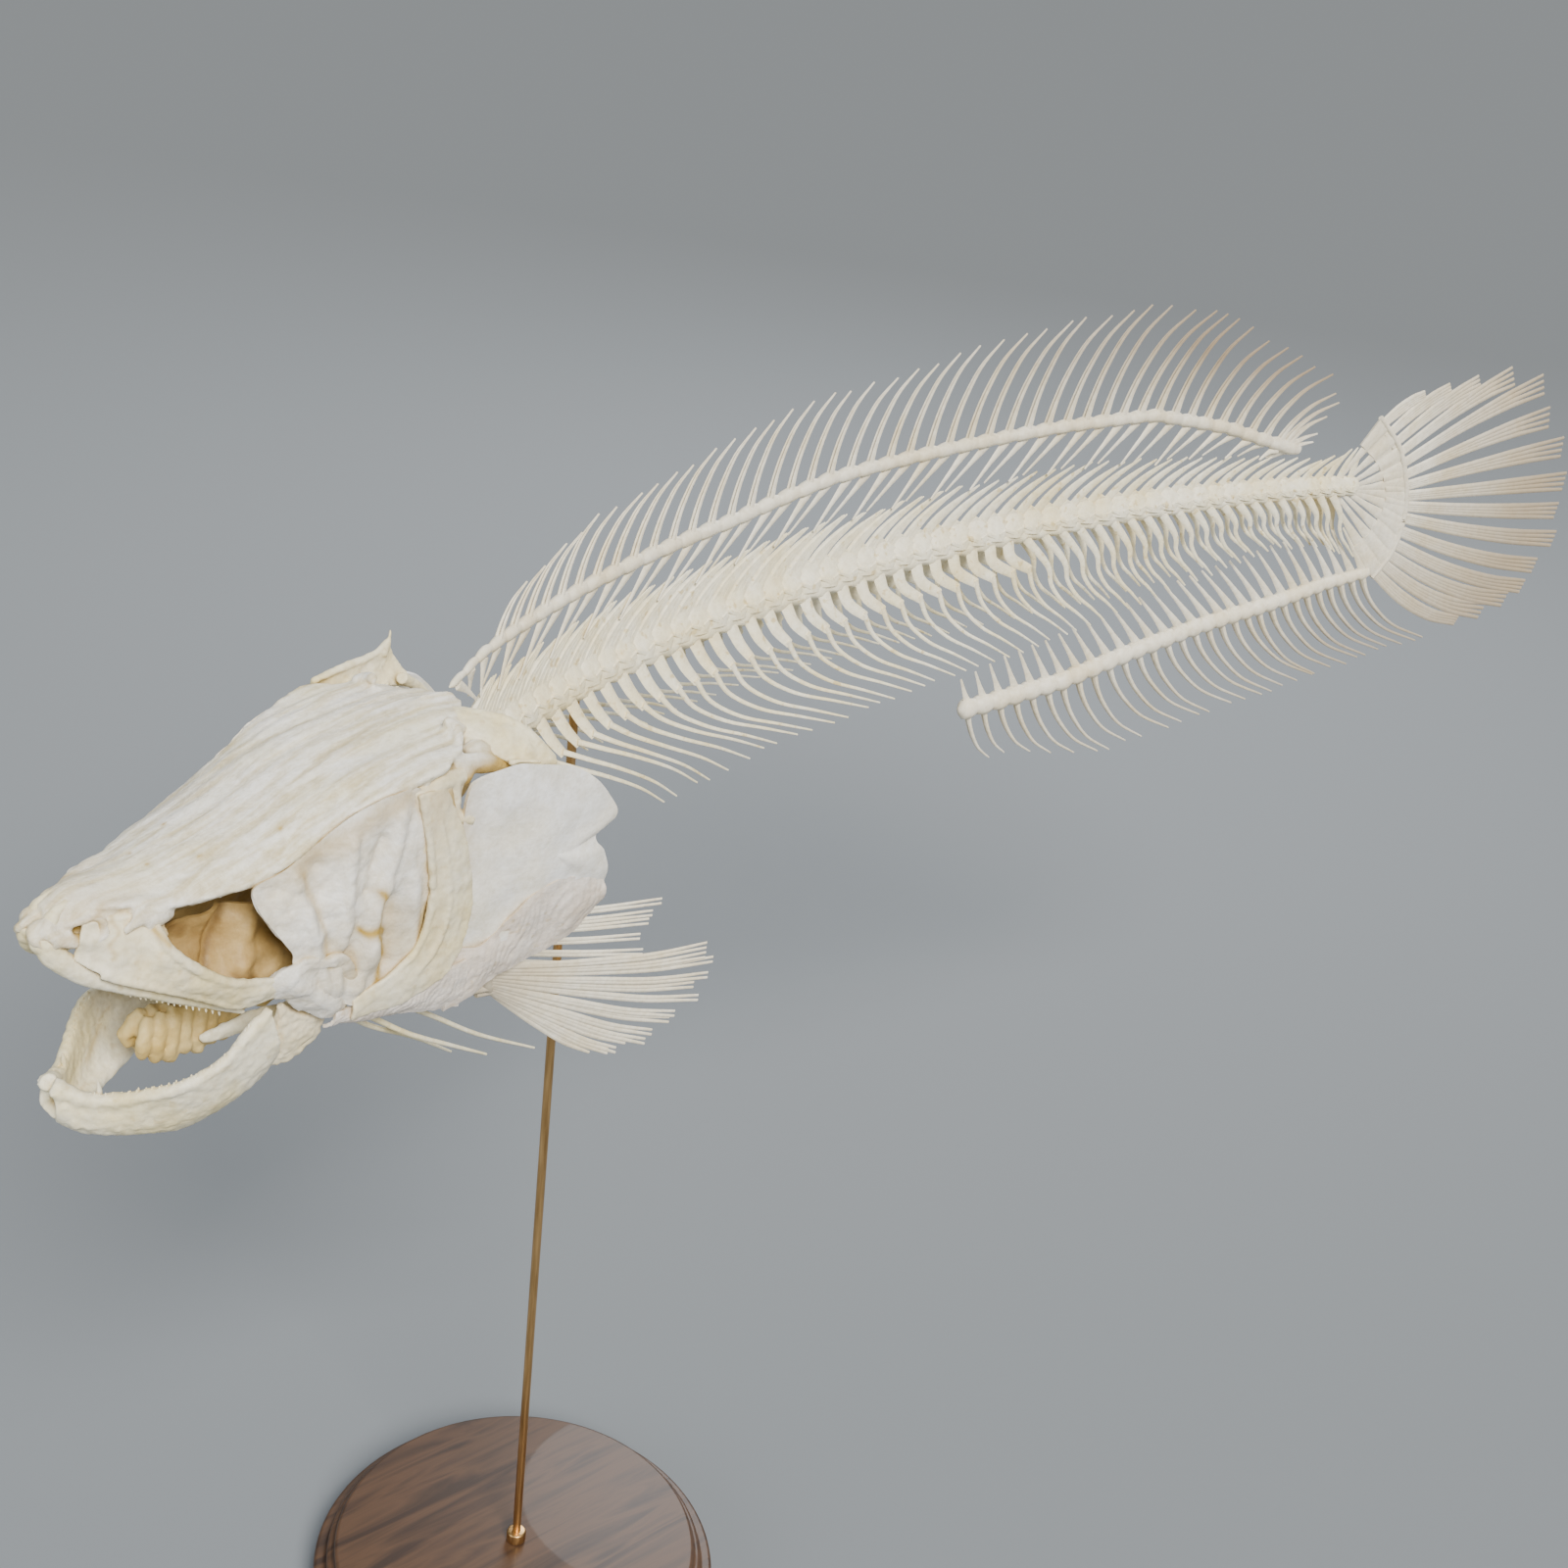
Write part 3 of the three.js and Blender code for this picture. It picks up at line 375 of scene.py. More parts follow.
wood, shader, add, link = new_material("base")
place = add("ShaderNodeTexCoord").outputs["Object"]
turned = add("ShaderNodeMapping", {"Vector": place, "Scale": (1, 9, 9), "Rotation": (0, 0, 0.35)})
wave = add("ShaderNodeTexNoise", {"Vector": turned.outputs["Vector"], "Scale": 14, "Detail": 6,
                                  "Distortion": 0.7})
streak = ramp(add, wave.outputs["Fac"],
              [(0.35, colour(0.035, 0.018, 0.010)), (0.5, colour(0.085, 0.043, 0.021)),
               (0.65, colour(0.05, 0.026, 0.014))])
link(streak, shader.inputs["Base Color"])
bump = add("ShaderNodeBump", {"Strength": 0.15, "Distance": 0.0005, "Height": wave.outputs["Fac"]})
link(bump.outputs["Normal"], shader.inputs["Normal"])
shader.inputs["Roughness"].default_value = 0.5
shader.inputs["Coat Weight"].default_value = 0.1
FINISHES["rod"] = brass
FINISHES["base"] = wood

# %% [markdown]
# ## Starting shapes
# Most bones are rods and plates that were bent by growth. So three straight shapes are modelled
# once with edit-mode operators: a rod of stacked discs, a grid and a disc of rings. Each bone is a
# copy of one of them with a mesh of its own, whose points a short function lays along the bone's
# own line.

# %% Straight rod, grid and disc
def start_edit():
    bpy.ops.object.mode_set(mode="EDIT")
    bpy.ops.mesh.select_all(action="SELECT")


def end_edit(name):
    bpy.ops.mesh.select_all(action="DESELECT")
    bpy.ops.object.mode_set(mode="OBJECT")
    bpy.ops.object.transform_apply(location=True, rotation=True, scale=True)
    made = bpy.context.active_object
    made.name = name
    return made


shape_library = {}


def straight_rod(sides, steps):
    """A closed rod of radius 1 from x = 0 to x = 1."""
    name = f"straight_rod_{sides}_{steps}"
    if name not in shape_library:
        bpy.ops.object.select_all(action="DESELECT")
        bpy.ops.mesh.primitive_circle_add(vertices=sides, radius=1, fill_type="NGON",
                                          rotation=(0, math.pi / 2, 0))
        start_edit()
        for _ in range(steps):
            bpy.ops.mesh.extrude_region_move(TRANSFORM_OT_translate={"value": (1 / steps, 0, 0)})
        bpy.ops.mesh.select_all(action="SELECT")
        bpy.ops.mesh.normals_make_consistent(inside=False)
        shape_library[name] = end_edit(name)
    return shape_library[name]


def flat_grid(columns, rows):
    """A grid from 0 to 1 each way."""
    name = f"flat_grid_{columns}_{rows}"
    if name not in shape_library:
        bpy.ops.object.select_all(action="DESELECT")
        bpy.ops.mesh.primitive_grid_add(x_subdivisions=columns, y_subdivisions=rows, size=1,
                                        location=(0.5, 0.5, 0))
        start_edit()
        shape_library[name] = end_edit(name)
    return shape_library[name]


def ringed_disc(sides, rings):
    """A disc of radius 1 whose rings are inset one inside the other."""
    name = f"ringed_disc_{sides}_{rings}"
    if name not in shape_library:
        bpy.ops.object.select_all(action="DESELECT")
        bpy.ops.mesh.primitive_circle_add(vertices=sides, radius=1, fill_type="NGON")
        start_edit()
        for ring in range(rings - 1):
            left_over = 1 - ring / rings
            bpy.ops.mesh.inset(thickness=0, depth=0)
            share = (left_over - 1 / rings) / left_over
            bpy.ops.transform.resize(value=(share, share, 1))
        bpy.ops.mesh.poke()
        shape_library[name] = end_edit(name)
    return shape_library[name]


# %% Copying a shape and laying it out
def copy_of(template, name):
    """A copy of a starting shape with a mesh of its own."""
    piece = template.copy()
    piece.data = template.data.copy()
    piece.name = name
    bpy.context.collection.objects.link(piece)
    return piece


def raw_points(piece):
    flat = np.empty(len(piece.data.vertices) * 3)
    piece.data.vertices.foreach_get("co", flat)
    return flat.reshape(-1, 3)


def put_points(piece, millimetres):
    piece.data.vertices.foreach_set("co", (np.asarray(millimetres) * MM).ravel())
    piece.data.update()
    return piece


def along(points, t):
    """Places on a smooth line through points, at shares t of its length."""
    points = np.asarray(points, float)
    padded = np.vstack([2 * points[0] - points[1], points, 2 * points[-1] - points[-2]])
    place = np.clip(t, 0, 1) * (len(points) - 1)
    index = np.minimum(place.astype(int), len(points) - 2)
    f = (place - index)[..., None]
    a, b, c, d = (padded[index + k] for k in range(4))
    return 0.5 * (2 * b + (c - a) * f + (2 * a - 5 * b + 4 * c - d) * f**2 + (3 * b - a - 3 * c + d) * f**3)


NUDGE = 0.01  # a line's direction is read this share of its length to either side


def rod(name, points, radii, side=(0, 0, 1), flat=1.0, sides=8, steps=12):
    """A tapered bone along a smooth line; flat squashes it across its side direction."""
    piece = copy_of(straight_rod(sides, steps), name)
    raw = raw_points(piece)
    t = np.clip(raw[:, 0], 0, 1)
    tangent = unit(along(points, t + NUDGE) - along(points, t - NUDGE))
    across = unit(np.asarray(side) - tangent * dot(side, tangent))
    over = np.cross(across, tangent)
    radius = evenly(radii, t)[:, None]
    placed = along(points, t) + across * raw[:, 1:2] * radius + over * raw[:, 2:3] * radius * flat
    return put_points(piece, placed)


def plate(name, upper, lower, relief=None, columns=40, rows=16):
    """A sheet between two edges. relief(u, v) raises it by millimetres, v = 0 being the lower edge."""
    piece = copy_of(flat_grid(columns, rows), name)
    raw = raw_points(piece)
    u, v = raw[:, 0], raw[:, 1]
    low, high = along(lower, u), along(upper, u)
    placed = low + (high - low) * v[:, None]
    if relief:
        after, before = u + NUDGE, u - NUDGE
        tangent = along(lower, after) + along(upper, after) - along(lower, before) - along(upper, before)
        out = unit(np.cross(tangent, high - low))
        placed = placed + out * relief(u, v)[:, None]
    return put_points(piece, placed)


def disc(name, outline, out, relief=None, sides=96, rings=14):
    """A sheet inside a closed outline. relief(reach, turn) raises it along the direction out."""
    piece = copy_of(ringed_disc(sides, rings), name)
    raw = raw_points(piece)
    reach = np.clip(np.hypot(raw[:, 0], raw[:, 1]), 0, 1)
    turn = (np.arctan2(raw[:, 1], raw[:, 0]) / (2 * math.pi)) % 1
    outline = np.asarray(outline, float)
    closed = np.vstack([outline[-1:], outline, outline[:2]])
    share = (1 + turn * len(outline)) / (len(closed) - 1)
    centre = outline.mean(axis=0)
    placed = centre + (along(closed, share) - centre) * reach[:, None]
    if relief:
        placed = placed + np.asarray(out) * relief(reach, turn)[:, None]
    return put_points(piece, placed)


def arched(height):
    """A plate's relief that is highest, in millimetres, midway between its two edges."""
    return lambda u, v: height * np.sin(v * math.pi)


def domed(height):
    """A disc's relief that is highest, in millimetres, in its middle."""
    return lambda reach, turn: height * (1 - reach**2)


def tube_between(name, sections, sides=24, steps=48):
    """A closed block whose sections are (x, half width, top, bottom) along the head."""
    piece = copy_of(straight_rod(sides, steps), name)
    raw = raw_points(piece)
    t = np.clip(raw[:, 0], 0, 1)
    line = along(np.array(sections, float), t)
    height = (line[:, 2] + line[:, 3]) / 2 + raw[:, 2] * (line[:, 2] - line[:, 3]) / 2
    return put_points(piece, head(line[:, 0], raw[:, 1] * line[:, 1], height))


# %% [markdown]
# ## Joining and finishing a bone
# A skull bone has no seams, so its rods and plates are joined, remeshed into one skin and smoothed.
# Thin sheets keep their grid and get a wall from Solidify. A Displace modifier then gives either
# kind a little of the unevenness that grown bone has.

# %% Modifiers
def only(piece):
    bpy.ops.object.select_all(action="DESELECT")
    piece.select_set(True)
    bpy.context.view_layer.objects.active = piece


def modified(piece, kind, **settings):
    """Adds a modifier, sets it and applies it."""
    only(piece)
    modifier = piece.modifiers.new(kind.lower(), kind)
    for setting, value in settings.items():
        setattr(modifier, setting, value)
    bpy.ops.object.modifier_apply(modifier=modifier.name)
    return piece


def joined(name, pieces):
    bpy.ops.object.select_all(action="DESELECT")
    for piece in pieces:
        piece.select_set(True)
    bpy.context.view_layer.objects.active = pieces[0]
    bpy.ops.object.join()
    whole = bpy.context.active_object
    whole.name = name
    return whole


def lumps(size):
    """A cloud texture with lumps of a size in millimetres, for Displace."""
    name = f"lumps_{size:.2f}"
    if name not in bpy.data.textures:
        texture = bpy.data.textures.new(name, "CLOUDS")
        texture.noise_scale = size * MM
        texture.noise_depth = 1
    return bpy.data.textures[name]


def uneven(piece, size, amount):
    return modified(piece, "DISPLACE", texture=lumps(size), texture_coords="LOCAL", strength=amount * MM,
                    mid_level=0.5)


def walled(piece, thickness):
    """A sheet with a wall of a thickness in millimetres, half on each side of it."""
    return modified(piece, "SOLIDIFY", thickness=thickness * MM, offset=0, use_even_offset=False)


def fused(name, pieces, voxel, smoothing=3):
    """Pieces that cross, as one skin."""
    whole = joined(name, pieces)
    modified(whole, "REMESH", mode="VOXEL", voxel_size=voxel * MM)
    return modified(whole, "SMOOTH", factor=0.5, iterations=smoothing)


# %% Stain and finish
def given_stain_and_shade(piece, amount_at):
    """Sets the attribute of real stains and painted shade; amount_at gets the points in millimetres."""
    attribute = piece.data.attributes.get("stain_and_shade") or piece.data.attributes.new("stain_and_shade", "FLOAT", "POINT")
    amounts = np.clip(amount_at(raw_points(piece) / MM), 0, 1)
    attribute.data.foreach_set("value", amounts.astype(np.float32))
    return piece


def even_stain(amount):
    return lambda points: np.full(len(points), amount)


SMOOTH_ANGLE = math.radians(50)


def finished(piece, slot, *nodes, finish=None):
    """Gives a piece its finish, the slot's own or another, and its place in the frame."""
    only(piece)
    bpy.ops.object.shade_smooth_by_angle(angle=SMOOTH_ANGLE)
    if not piece.data.attributes.get("stain_and_shade"):
        given_stain_and_shade(piece, even_stain(0))
    piece.data.materials.clear()
    piece.data.materials.append(FINISHES[finish or slot])
    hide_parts(*nodes)
    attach(piece, "root")
    print(piece.name, len(piece.data.polygons), "faces")
    return piece


SIDES = {"left": 1, "right": -1}

# %% [markdown]
# ## Stand
# The base is a turned disc of dark wood. A preparator's base has a small step and a rounded rim,
# so a plain cylinder is inset, pushed up and bevelled. The rod is plain round brass with a small
# collar where it enters the wood. The backbone sits on its tip, with a hair's gap for the glue.

# %% Wooden base
BASE_DISC = 0.62  # the lowest disc's share of the base's height
BASE_STEPS = [(0.005, 0.2), (0.003, 0.18)]  # inset in metres, and rise as a share of the height
base_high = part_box("stand_base")[1]
base_radius, base_height = base_high.x, base_high.z
bpy.ops.object.select_all(action="DESELECT")
bpy.ops.mesh.primitive_cylinder_add(vertices=128, radius=base_radius, depth=base_height * BASE_DISC,
                                    location=(0, 0, base_height * (BASE_DISC / 2)))
start_edit()
bpy.ops.mesh.select_all(action="DESELECT")
bpy.ops.object.mode_set(mode="OBJECT")
base = bpy.context.active_object
for polygon in base.data.polygons:
    polygon.select = polygon.normal.z > 0.9
bpy.ops.object.mode_set(mode="EDIT")
for inset, rise in BASE_STEPS:
    bpy.ops.mesh.inset(thickness=inset)
    bpy.ops.mesh.extrude_region_move(TRANSFORM_OT_translate={"value": (0, 0, base_height * rise)})
base = end_edit("stand_base_turned")
modified(base, "BEVEL", width=0.0022, segments=4, limit_method="ANGLE", angle_limit=math.radians(40))
finished(base, "base", "stand_base")

# %% Brass rod
COLLAR_RADIUS = 2.4  # in radii of the rod
COLLAR_DEPTH, COLLAR_MIDDLE = 0.005, 0.0026
rod_radius = (rod_high.x - rod_low.x) / 2
bpy.ops.object.select_all(action="DESELECT")
bpy.ops.mesh.primitive_cylinder_add(vertices=32, radius=rod_radius, depth=rod_high.z - rod_low.z,
                                    location=(0, 0, (rod_high.z + rod_low.z) / 2))
brass_rod = bpy.context.active_object
modified(brass_rod, "BEVEL", width=0.0004, segments=3, limit_method="ANGLE")
start_edit()
brass_rod = end_edit("brass_rod")
bpy.ops.object.select_all(action="DESELECT")
bpy.ops.mesh.primitive_cylinder_add(vertices=48, radius=rod_radius * COLLAR_RADIUS, depth=COLLAR_DEPTH,
                                    location=(0, 0, base_height + COLLAR_MIDDLE))
collar = bpy.context.active_object
modified(collar, "BEVEL", width=0.0008, segments=3, limit_method="ANGLE")
start_edit()
collar = end_edit("brass_collar")
finished(joined("brass_rod", [brass_rod, collar]), "rod", "stand_rod")

# %% [markdown]
# ## Skull
# The roof of a snakehead's skull is a broad, flat shield, smooth as ivory, with fine streaks along
# it. Under it are the braincase, a bar along the roof of the mouth and the knobbly snout. The roof
# is a grid that is narrowed, arched and streaked, and the rest are blocks and rods. All of it is
# then fused, because a skull is one piece once its seams have closed.

# %% Skull roof
# Forward place, half width, height of the edge, rise of the middle
ROOF = [(7, 4, 24.5, 1), (14, 14, 23.5, 2.5), (21, 21, 24, 3), (29, 28, 23.5, 3), (37, 31.8, 23, 3),
        (47, 31, 21.5, 3), (58, 28.5, 19, 4), (72, 26, 13.5, 6), (86, 25.5, 6.5, 8), (98, 23, 3, 8),
        (110, 20, 1, 7), (122, 15, -1, 6.5), (134, 8.5, -1, 6)]
ROOF_WALL = 2.8
RAGGED_EDGE = 34  # the roof's edge is ragged behind this place


def streaks(points, stretch, size):
    """Noise that is drawn out along the head, for points in the head's millimetres."""
    return np.array([noise.fractal(Vector((x / (size * stretch), y / size, z / size)), 0.9, 2.1, 4)
                     for x, y, z in points])


def roof_sheet(name, drop, columns=150, rows=70):
    piece = copy_of(flat_grid(columns, rows), name)
    raw = raw_points(piece)
    line = along(np.array(ROOF, float), raw[:, 0])
    across = raw[:, 1] * 2 - 1
    ragged = 1 + 0.03 * np.sin(line[:, 0] * 0.55) * (line[:, 0] < RAGGED_EDGE)
    y = across * line[:, 1] * ragged
    z = line[:, 2] + line[:, 3] * (1 - across**2)
    spot = np.stack([line[:, 0], y, np.zeros(len(y))], -1)
    z = z + 1.1 * streaks(spot, 9, 7) + 0.5 * streaks(spot, 12, 2)
    z = z - drop * (0.6 + 0.4 * (1 - across**2))
    return put_points(piece, head(line[:, 0], y, z))


roof = walled(roof_sheet("roof", ROOF_WALL / 2), ROOF_WALL)
print("roof sheet", len(roof.data.vertices))

# %% Braincase, mouth bar and snout
braincase = tube_between("braincase", [
    (2, 7, 8, -6), (14, 17, 19, -9), (34, 20, 21, -12), (56, 17, 19, -13), (76, 11, 12, -12),
    (90, 6, 7, -12), (104, 4, 4, -12), (114, 4.5, 2, -12)])
mouth_bar = rod("mouth_bar", head_points([[12, 0, -8], [60, 0, -13], [112, 0, -12], [134, 0, -9]]),
                [3, 3.6, 3, 3], side=head_left, flat=0.8)
snout_core = tube_between("snout_core", [
    (106, 5, 3, -11), (120, 11, 3, -12), (132, 11, 5, -11), (142, 8, 5, -9.5), (149, 5, 2, -8)])
condyle = rod("condyle", head_points([[10, 0, -1], [1.5, 0, 0]]), [6, 5], side=head_left)
crest = rod("crest", head_points([[30, 0, 24], [18, 0, 26], [9, 0, 25], [4, 0, 23]]), [2, 2.6, 2.2, 0.8],
            side=head_up, flat=0.5)
skull_parts = [roof, braincase, mouth_bar, snout_core, condyle, crest]

SIDE_RODS = [  # a line on the left, which is mirrored too, its radii and its settings
    ([[40, 12, 6], [40, 24, 15], [38, 30, 19]], [8, 6, 3], {"flat": 1.6}),
    ([[66, 9, 4], [74, 18, 6], [80, 24, 5]], [6, 4, 2], {"flat": 1.3}),
    ([[30, 26, 20], [16, 25, 16], [5, 24, 11], [-1, 23, 8]], [3, 3.4, 2.4, 0.8], {}),
    ([[24, 12, 18], [12, 13, 19], [3, 13, 18]], [3, 2.6, 1], {}),
    ([[30, 26.5, 16], [26, 27, 16], [21, 25, 16.5]], [2.8, 3.6, 2.4], {}),
    ([[20, 21, 18], [16, 21, 18.5], [11, 21, 17], [7, 19, 14]], [2.6, 3.4, 3, 2], {}),
    ([[24, 16, 29], [23, 20, 27], [25, 24, 25]], [1.6, 2.2, 1.6], {}),
    ([[36, 29.5, 17], [34, 30, 10], [31, 30, 2], [32, 29.5, -5]], [3, 3, 2.6, 1.6], {}),
    ([[27, 14, -2], [26, 20, -3], [24, 24, 1]], [5, 3.5, 2], {}),
    ([[118, 13, -4], [124, 15, -3], [130, 14, -1]], [2.5, 3, 1.5], {}),
    ([[118, 15, 1], [126, 12, 1.5], [132, 9.5, 1.5], [138, 7, 1.5], [143, 4.5, 0.5]],
     [1.4, 2.4, 2.4, 1.8, 1.2], {"flat": 0.5, "side": head_left}),
    ([[134, 3, 4.5], [140, 2.5, 3.5], [146, 2, 1.5]], [1.2, 2, 1.4], {"flat": 0.6, "side": head_left}),
    ([[146, 3, -0.5], [150, 4, -2.5], [149, 6.5, -5], [144, 9.5, -7]], [2.0, 2.5, 2.2, 1.4], {}),
    ([[150, 1.5, -1.5], [153.5, 2, -3], [153.5, 4, -5.5], [149, 7, -7.5]], [1.2, 1.5, 1.5, 1.1], {}),
    ([[146, 6.5, -2], [142, 9, -1], [138, 11, -1.5], [137, 12, -4.5], [141, 11, -6.5], [145, 9, -5]],
     [1.0, 1.3, 1.4, 1.4, 1.3, 1.0], {}),
    ([[133, 14, -5], [129, 15.5, -2], [126, 16, -4], [127, 15.5, -8]], [1.2, 1.6, 1.5, 1.2], {}),
    ([[137, 9, -9], [128, 13, -10], [120, 15, -9]], [2, 2.2, 1.6], {})]
for side in SIDES.values():
    for rows, radii, settings in SIDE_RODS:
        skull_parts.append(rod("skull_part", head_points(rows, side), radii, **settings))

cranium = fused("skull", skull_parts, 0.8, 3)
uneven(cranium, 6, 0.4)
print("skull", len(cranium.data.polygons))


# %% Hollows and ridges
def head_coordinates(points):
    """Points in millimetres as places in the head's own frame."""
    offset = points - spine_start
    return np.stack([-(offset @ head_back), offset @ head_left, offset @ head_up], -1)


def sculpted(piece, relief_at):
    """Pushes a surface outwards, or inwards where relief_at(x, y, z) is below 0, on both sides."""
    points = raw_points(piece) / MM
    x, y, z = head_coordinates(points).T
    return put_points(piece, points + np.outer(relief_at(x, y, z) * np.sign(y), head_left))


def near_line(x, z, start, end, width):
    """1 on a line along the head's side, falling to 0 away from it."""
    run = np.subtract(end, start)
    share = np.clip(((x - start[0]) * run[0] + (z - start[1]) * run[1]) / run.dot(run), 0, 1)
    away = np.hypot(x - start[0] - share * run[0], z - start[1] - share * run[1])
    return np.exp(-(away / width) ** 2)


def nostril(x, z):
    return near_line(x, z, (142.5, -4.5), (139.5, -2.5), 2.2)


def nose_pore(x, z):
    return near_line(x, z, (152, -5.5), (151.5, -6), 1.2)


sculpted(cranium, lambda x, y, z: (np.abs(y) > 3) * (-2.6 * nostril(x, z) - 1.2 * nose_pore(x, z)))
ROOF_PITS = [(118, 3), (106, 10), (118, -5), (104, -9), (84, 17)]


def skull_stain_and_shade(points):
    x, y, z = head_coordinates(points).T
    # Painted shade: behind the snout everything below the roof's edge, seen through the eye socket, is
    # darkened, and so are the nostril and the pore ahead of it. The small pits on the roof are darkened
    # too; seams are real stains, and the rear knobs are tinted, more so lower down.
    roof_underside_shade = np.clip((graph([(r[0], r[2]) for r in ROOF], x) - 3.5 - z) / 4, 0, 1)
    front = np.clip((x - 118) / 20, 0, 1)
    seams = np.exp(-((np.abs(y) - 9.5 - 0.8 * np.sin(x * 0.5)) / 1.1) ** 2) * front
    rear_knobs = np.clip((24 - z) / 6, 0, 1) * (x < 32) * (np.abs(y) > 15)
    pits = sum(np.exp(-((x - pit_x) ** 2 + (y - pit_y) ** 2) / 0.5) for pit_x, pit_y in ROOF_PITS)
    hole_shade = np.maximum(nostril(x, z), nose_pore(x, z)) * (np.abs(y) > 3)
    pits_and_hole_shade = np.maximum(0.9 * pits, hole_shade)
    tones_and_shade = 0.8 * roof_underside_shade * (1 - front) + 0.16 * front + 0.35 * seams + 0.1 * rear_knobs
    return np.maximum(tones_and_shade, pits_and_hole_shade)


given_stain_and_shade(cranium, skull_stain_and_shade)
finished(cranium, "bone", "cranium", finish="skull")

# %% [markdown]
# ## Jaws
# The upper jaw is a slender toothed rod on each side with a thin blade behind it. The lower jaw is
# a deep bar that is taller than it looks from the side, because its upper edge leans outwards. Small
# teeth stand along its edge. A snakehead's jaws are lumpy where the two halves meet.

# %% Teeth
def teeth(name, line, count, length, radius, direction, start=0.05, end=0.95):
    """A row of small cones along a line, each a little different from the next."""
    row = []
    for index in range(count):
        t = np.array(start + (end - start) * index / (count - 1))
        foot = along(line, t)
        size = 0.7 + 0.5 * noise.noise(Vector((index * 0.71, count * 0.37, 0)))
        tip = foot + np.asarray(direction) * length * size
        row.append(rod(f"{name}_{index}", [foot - np.asarray(direction) * 0.6, (foot + tip) / 2, tip],
                       [radius, radius * 0.8, radius * 0.12], side=head_back, sides=6, steps=3))
    return row


# %% Upper jaw
for name, side in SIDES.items():
    line = head_points([[150, 3, -4], [149.5, 5, -10], [142, 9, -17.5], [134, 13, -22], [120, 19, -28.5],
                        [100, 24, -39]], side)
    parts = [rod("premaxilla_rod", line, [3, 3.6, 3.2, 2.4, 1.9, 0.8], side=head_up, flat=0.8,
                 sides=14, steps=40),
             rod("rising_process", head_points([[149, 3.5, -6], [148, 3.2, 0], [143, 3, 3.5]], side),
                 [2.8, 2.4, 1], side=head_left, flat=0.8),
             rod("front_lump", head_points([[152, 1.2, -3], [151.5, 3, -7], [148, 5.5, -12]], side),
                 [2.4, 3, 2.2], side=head_left)]
    jaw = fused(f"premaxilla_{name}_bone", parts, 0.5, 2)
    uneven(jaw, 2, 0.4)
    down = -head_up * 0.9 + head_left * 0.25 * side
    jaw = joined(jaw.name, [jaw] + teeth("tooth", line - head_up * 2.2, 40, 1.1, 0.36, down, 0.2, 0.93))
    finished(jaw, "bone", f"premaxilla_{name}")

    upper = head_points([[142, 7.5, -2.5], [133, 10, -2.5], [125, 13.5, -2.3], [124.5, 17, -5.5],
                         [124, 21, -9.6], [118.5, 25, -16], [108, 28, -23.5], [93, 30, -27.5]], side)
    lower = head_points([[145, 8.5, -12], [140, 14, -16], [136, 16.5, -18], [130, 19.5, -20.5],
                         [124, 22, -23], [114, 24.5, -28], [104, 27, -33], [93, 29.5, -32.5]], side)

    def blade_relief(u, v):
        return side * (1.2 * np.sin(v * math.pi) - 0.8 * np.sin(v * math.pi * 2) * (u < 0.6))

    blade = walled(uneven(plate("blade", upper, lower, blade_relief, 90, 26), 5, 1.8), 1.5)
    rim = rod("orbit_rim", upper[2:] + head_left * side * 0.4, [0.9, 1.4, 1.6, 1.6, 1.5, 1.0],
              sides=10, steps=40)
    keel = rod("blade_keel", lower[1:] - head_left * side * 0.2, [1.1, 1.2, 1.2, 1.3, 1.6, 1.7, 1.2],
               sides=10, steps=30)
    bridge = rod("nose_bridge", upper[:3] + head_left * side * 0.2, [1.4, 1.8, 1.3], sides=10, steps=16)
    blade = fused(f"maxilla_{name}_bone", [blade, rim, keel, bridge], 0.5, 2)
    uneven(blade, 2, 0.5)

    def blade_stain(points):
        x, _, z = head_coordinates(points).T
        crack = np.exp(-((x - 133.5 + 0.35 * z + 0.8 * np.sin(z)) / 0.8) ** 2)
        spot = near_line(x, z, (126, -5), (124.5, -8), 1)
        return 0.10 + np.maximum(0.4 * crack * (z > -12), 0.7 * spot)

    given_stain_and_shade(blade, blade_stain)
    finished(blade, "bone", f"maxilla_{name}")

# %% Lower jaw
JAW_UPPER = [[147, 1, -56], [142, 6, -59.5], [137, 10, -60.5], [128.5, 18, -58], [120, 25, -54.5],
             [108, 27, -50], [101, 27.5, -43], [94, 27.5, -38]]
JAW_LOWER = [[145, 1, -68], [139, 4, -72.5], [131, 9, -74.5], [117, 16, -75.3], [107, 19, -72.5],
             [99, 20.5, -69], [94, 23, -64], [89, 24.5, -57]]
CHIN_KNOBS = [(147, 2.5, -57, 2.6), (145, 3.5, -62, 2.8), (143, 5, -67, 2.6), (140, 7, -63, 2.2)]

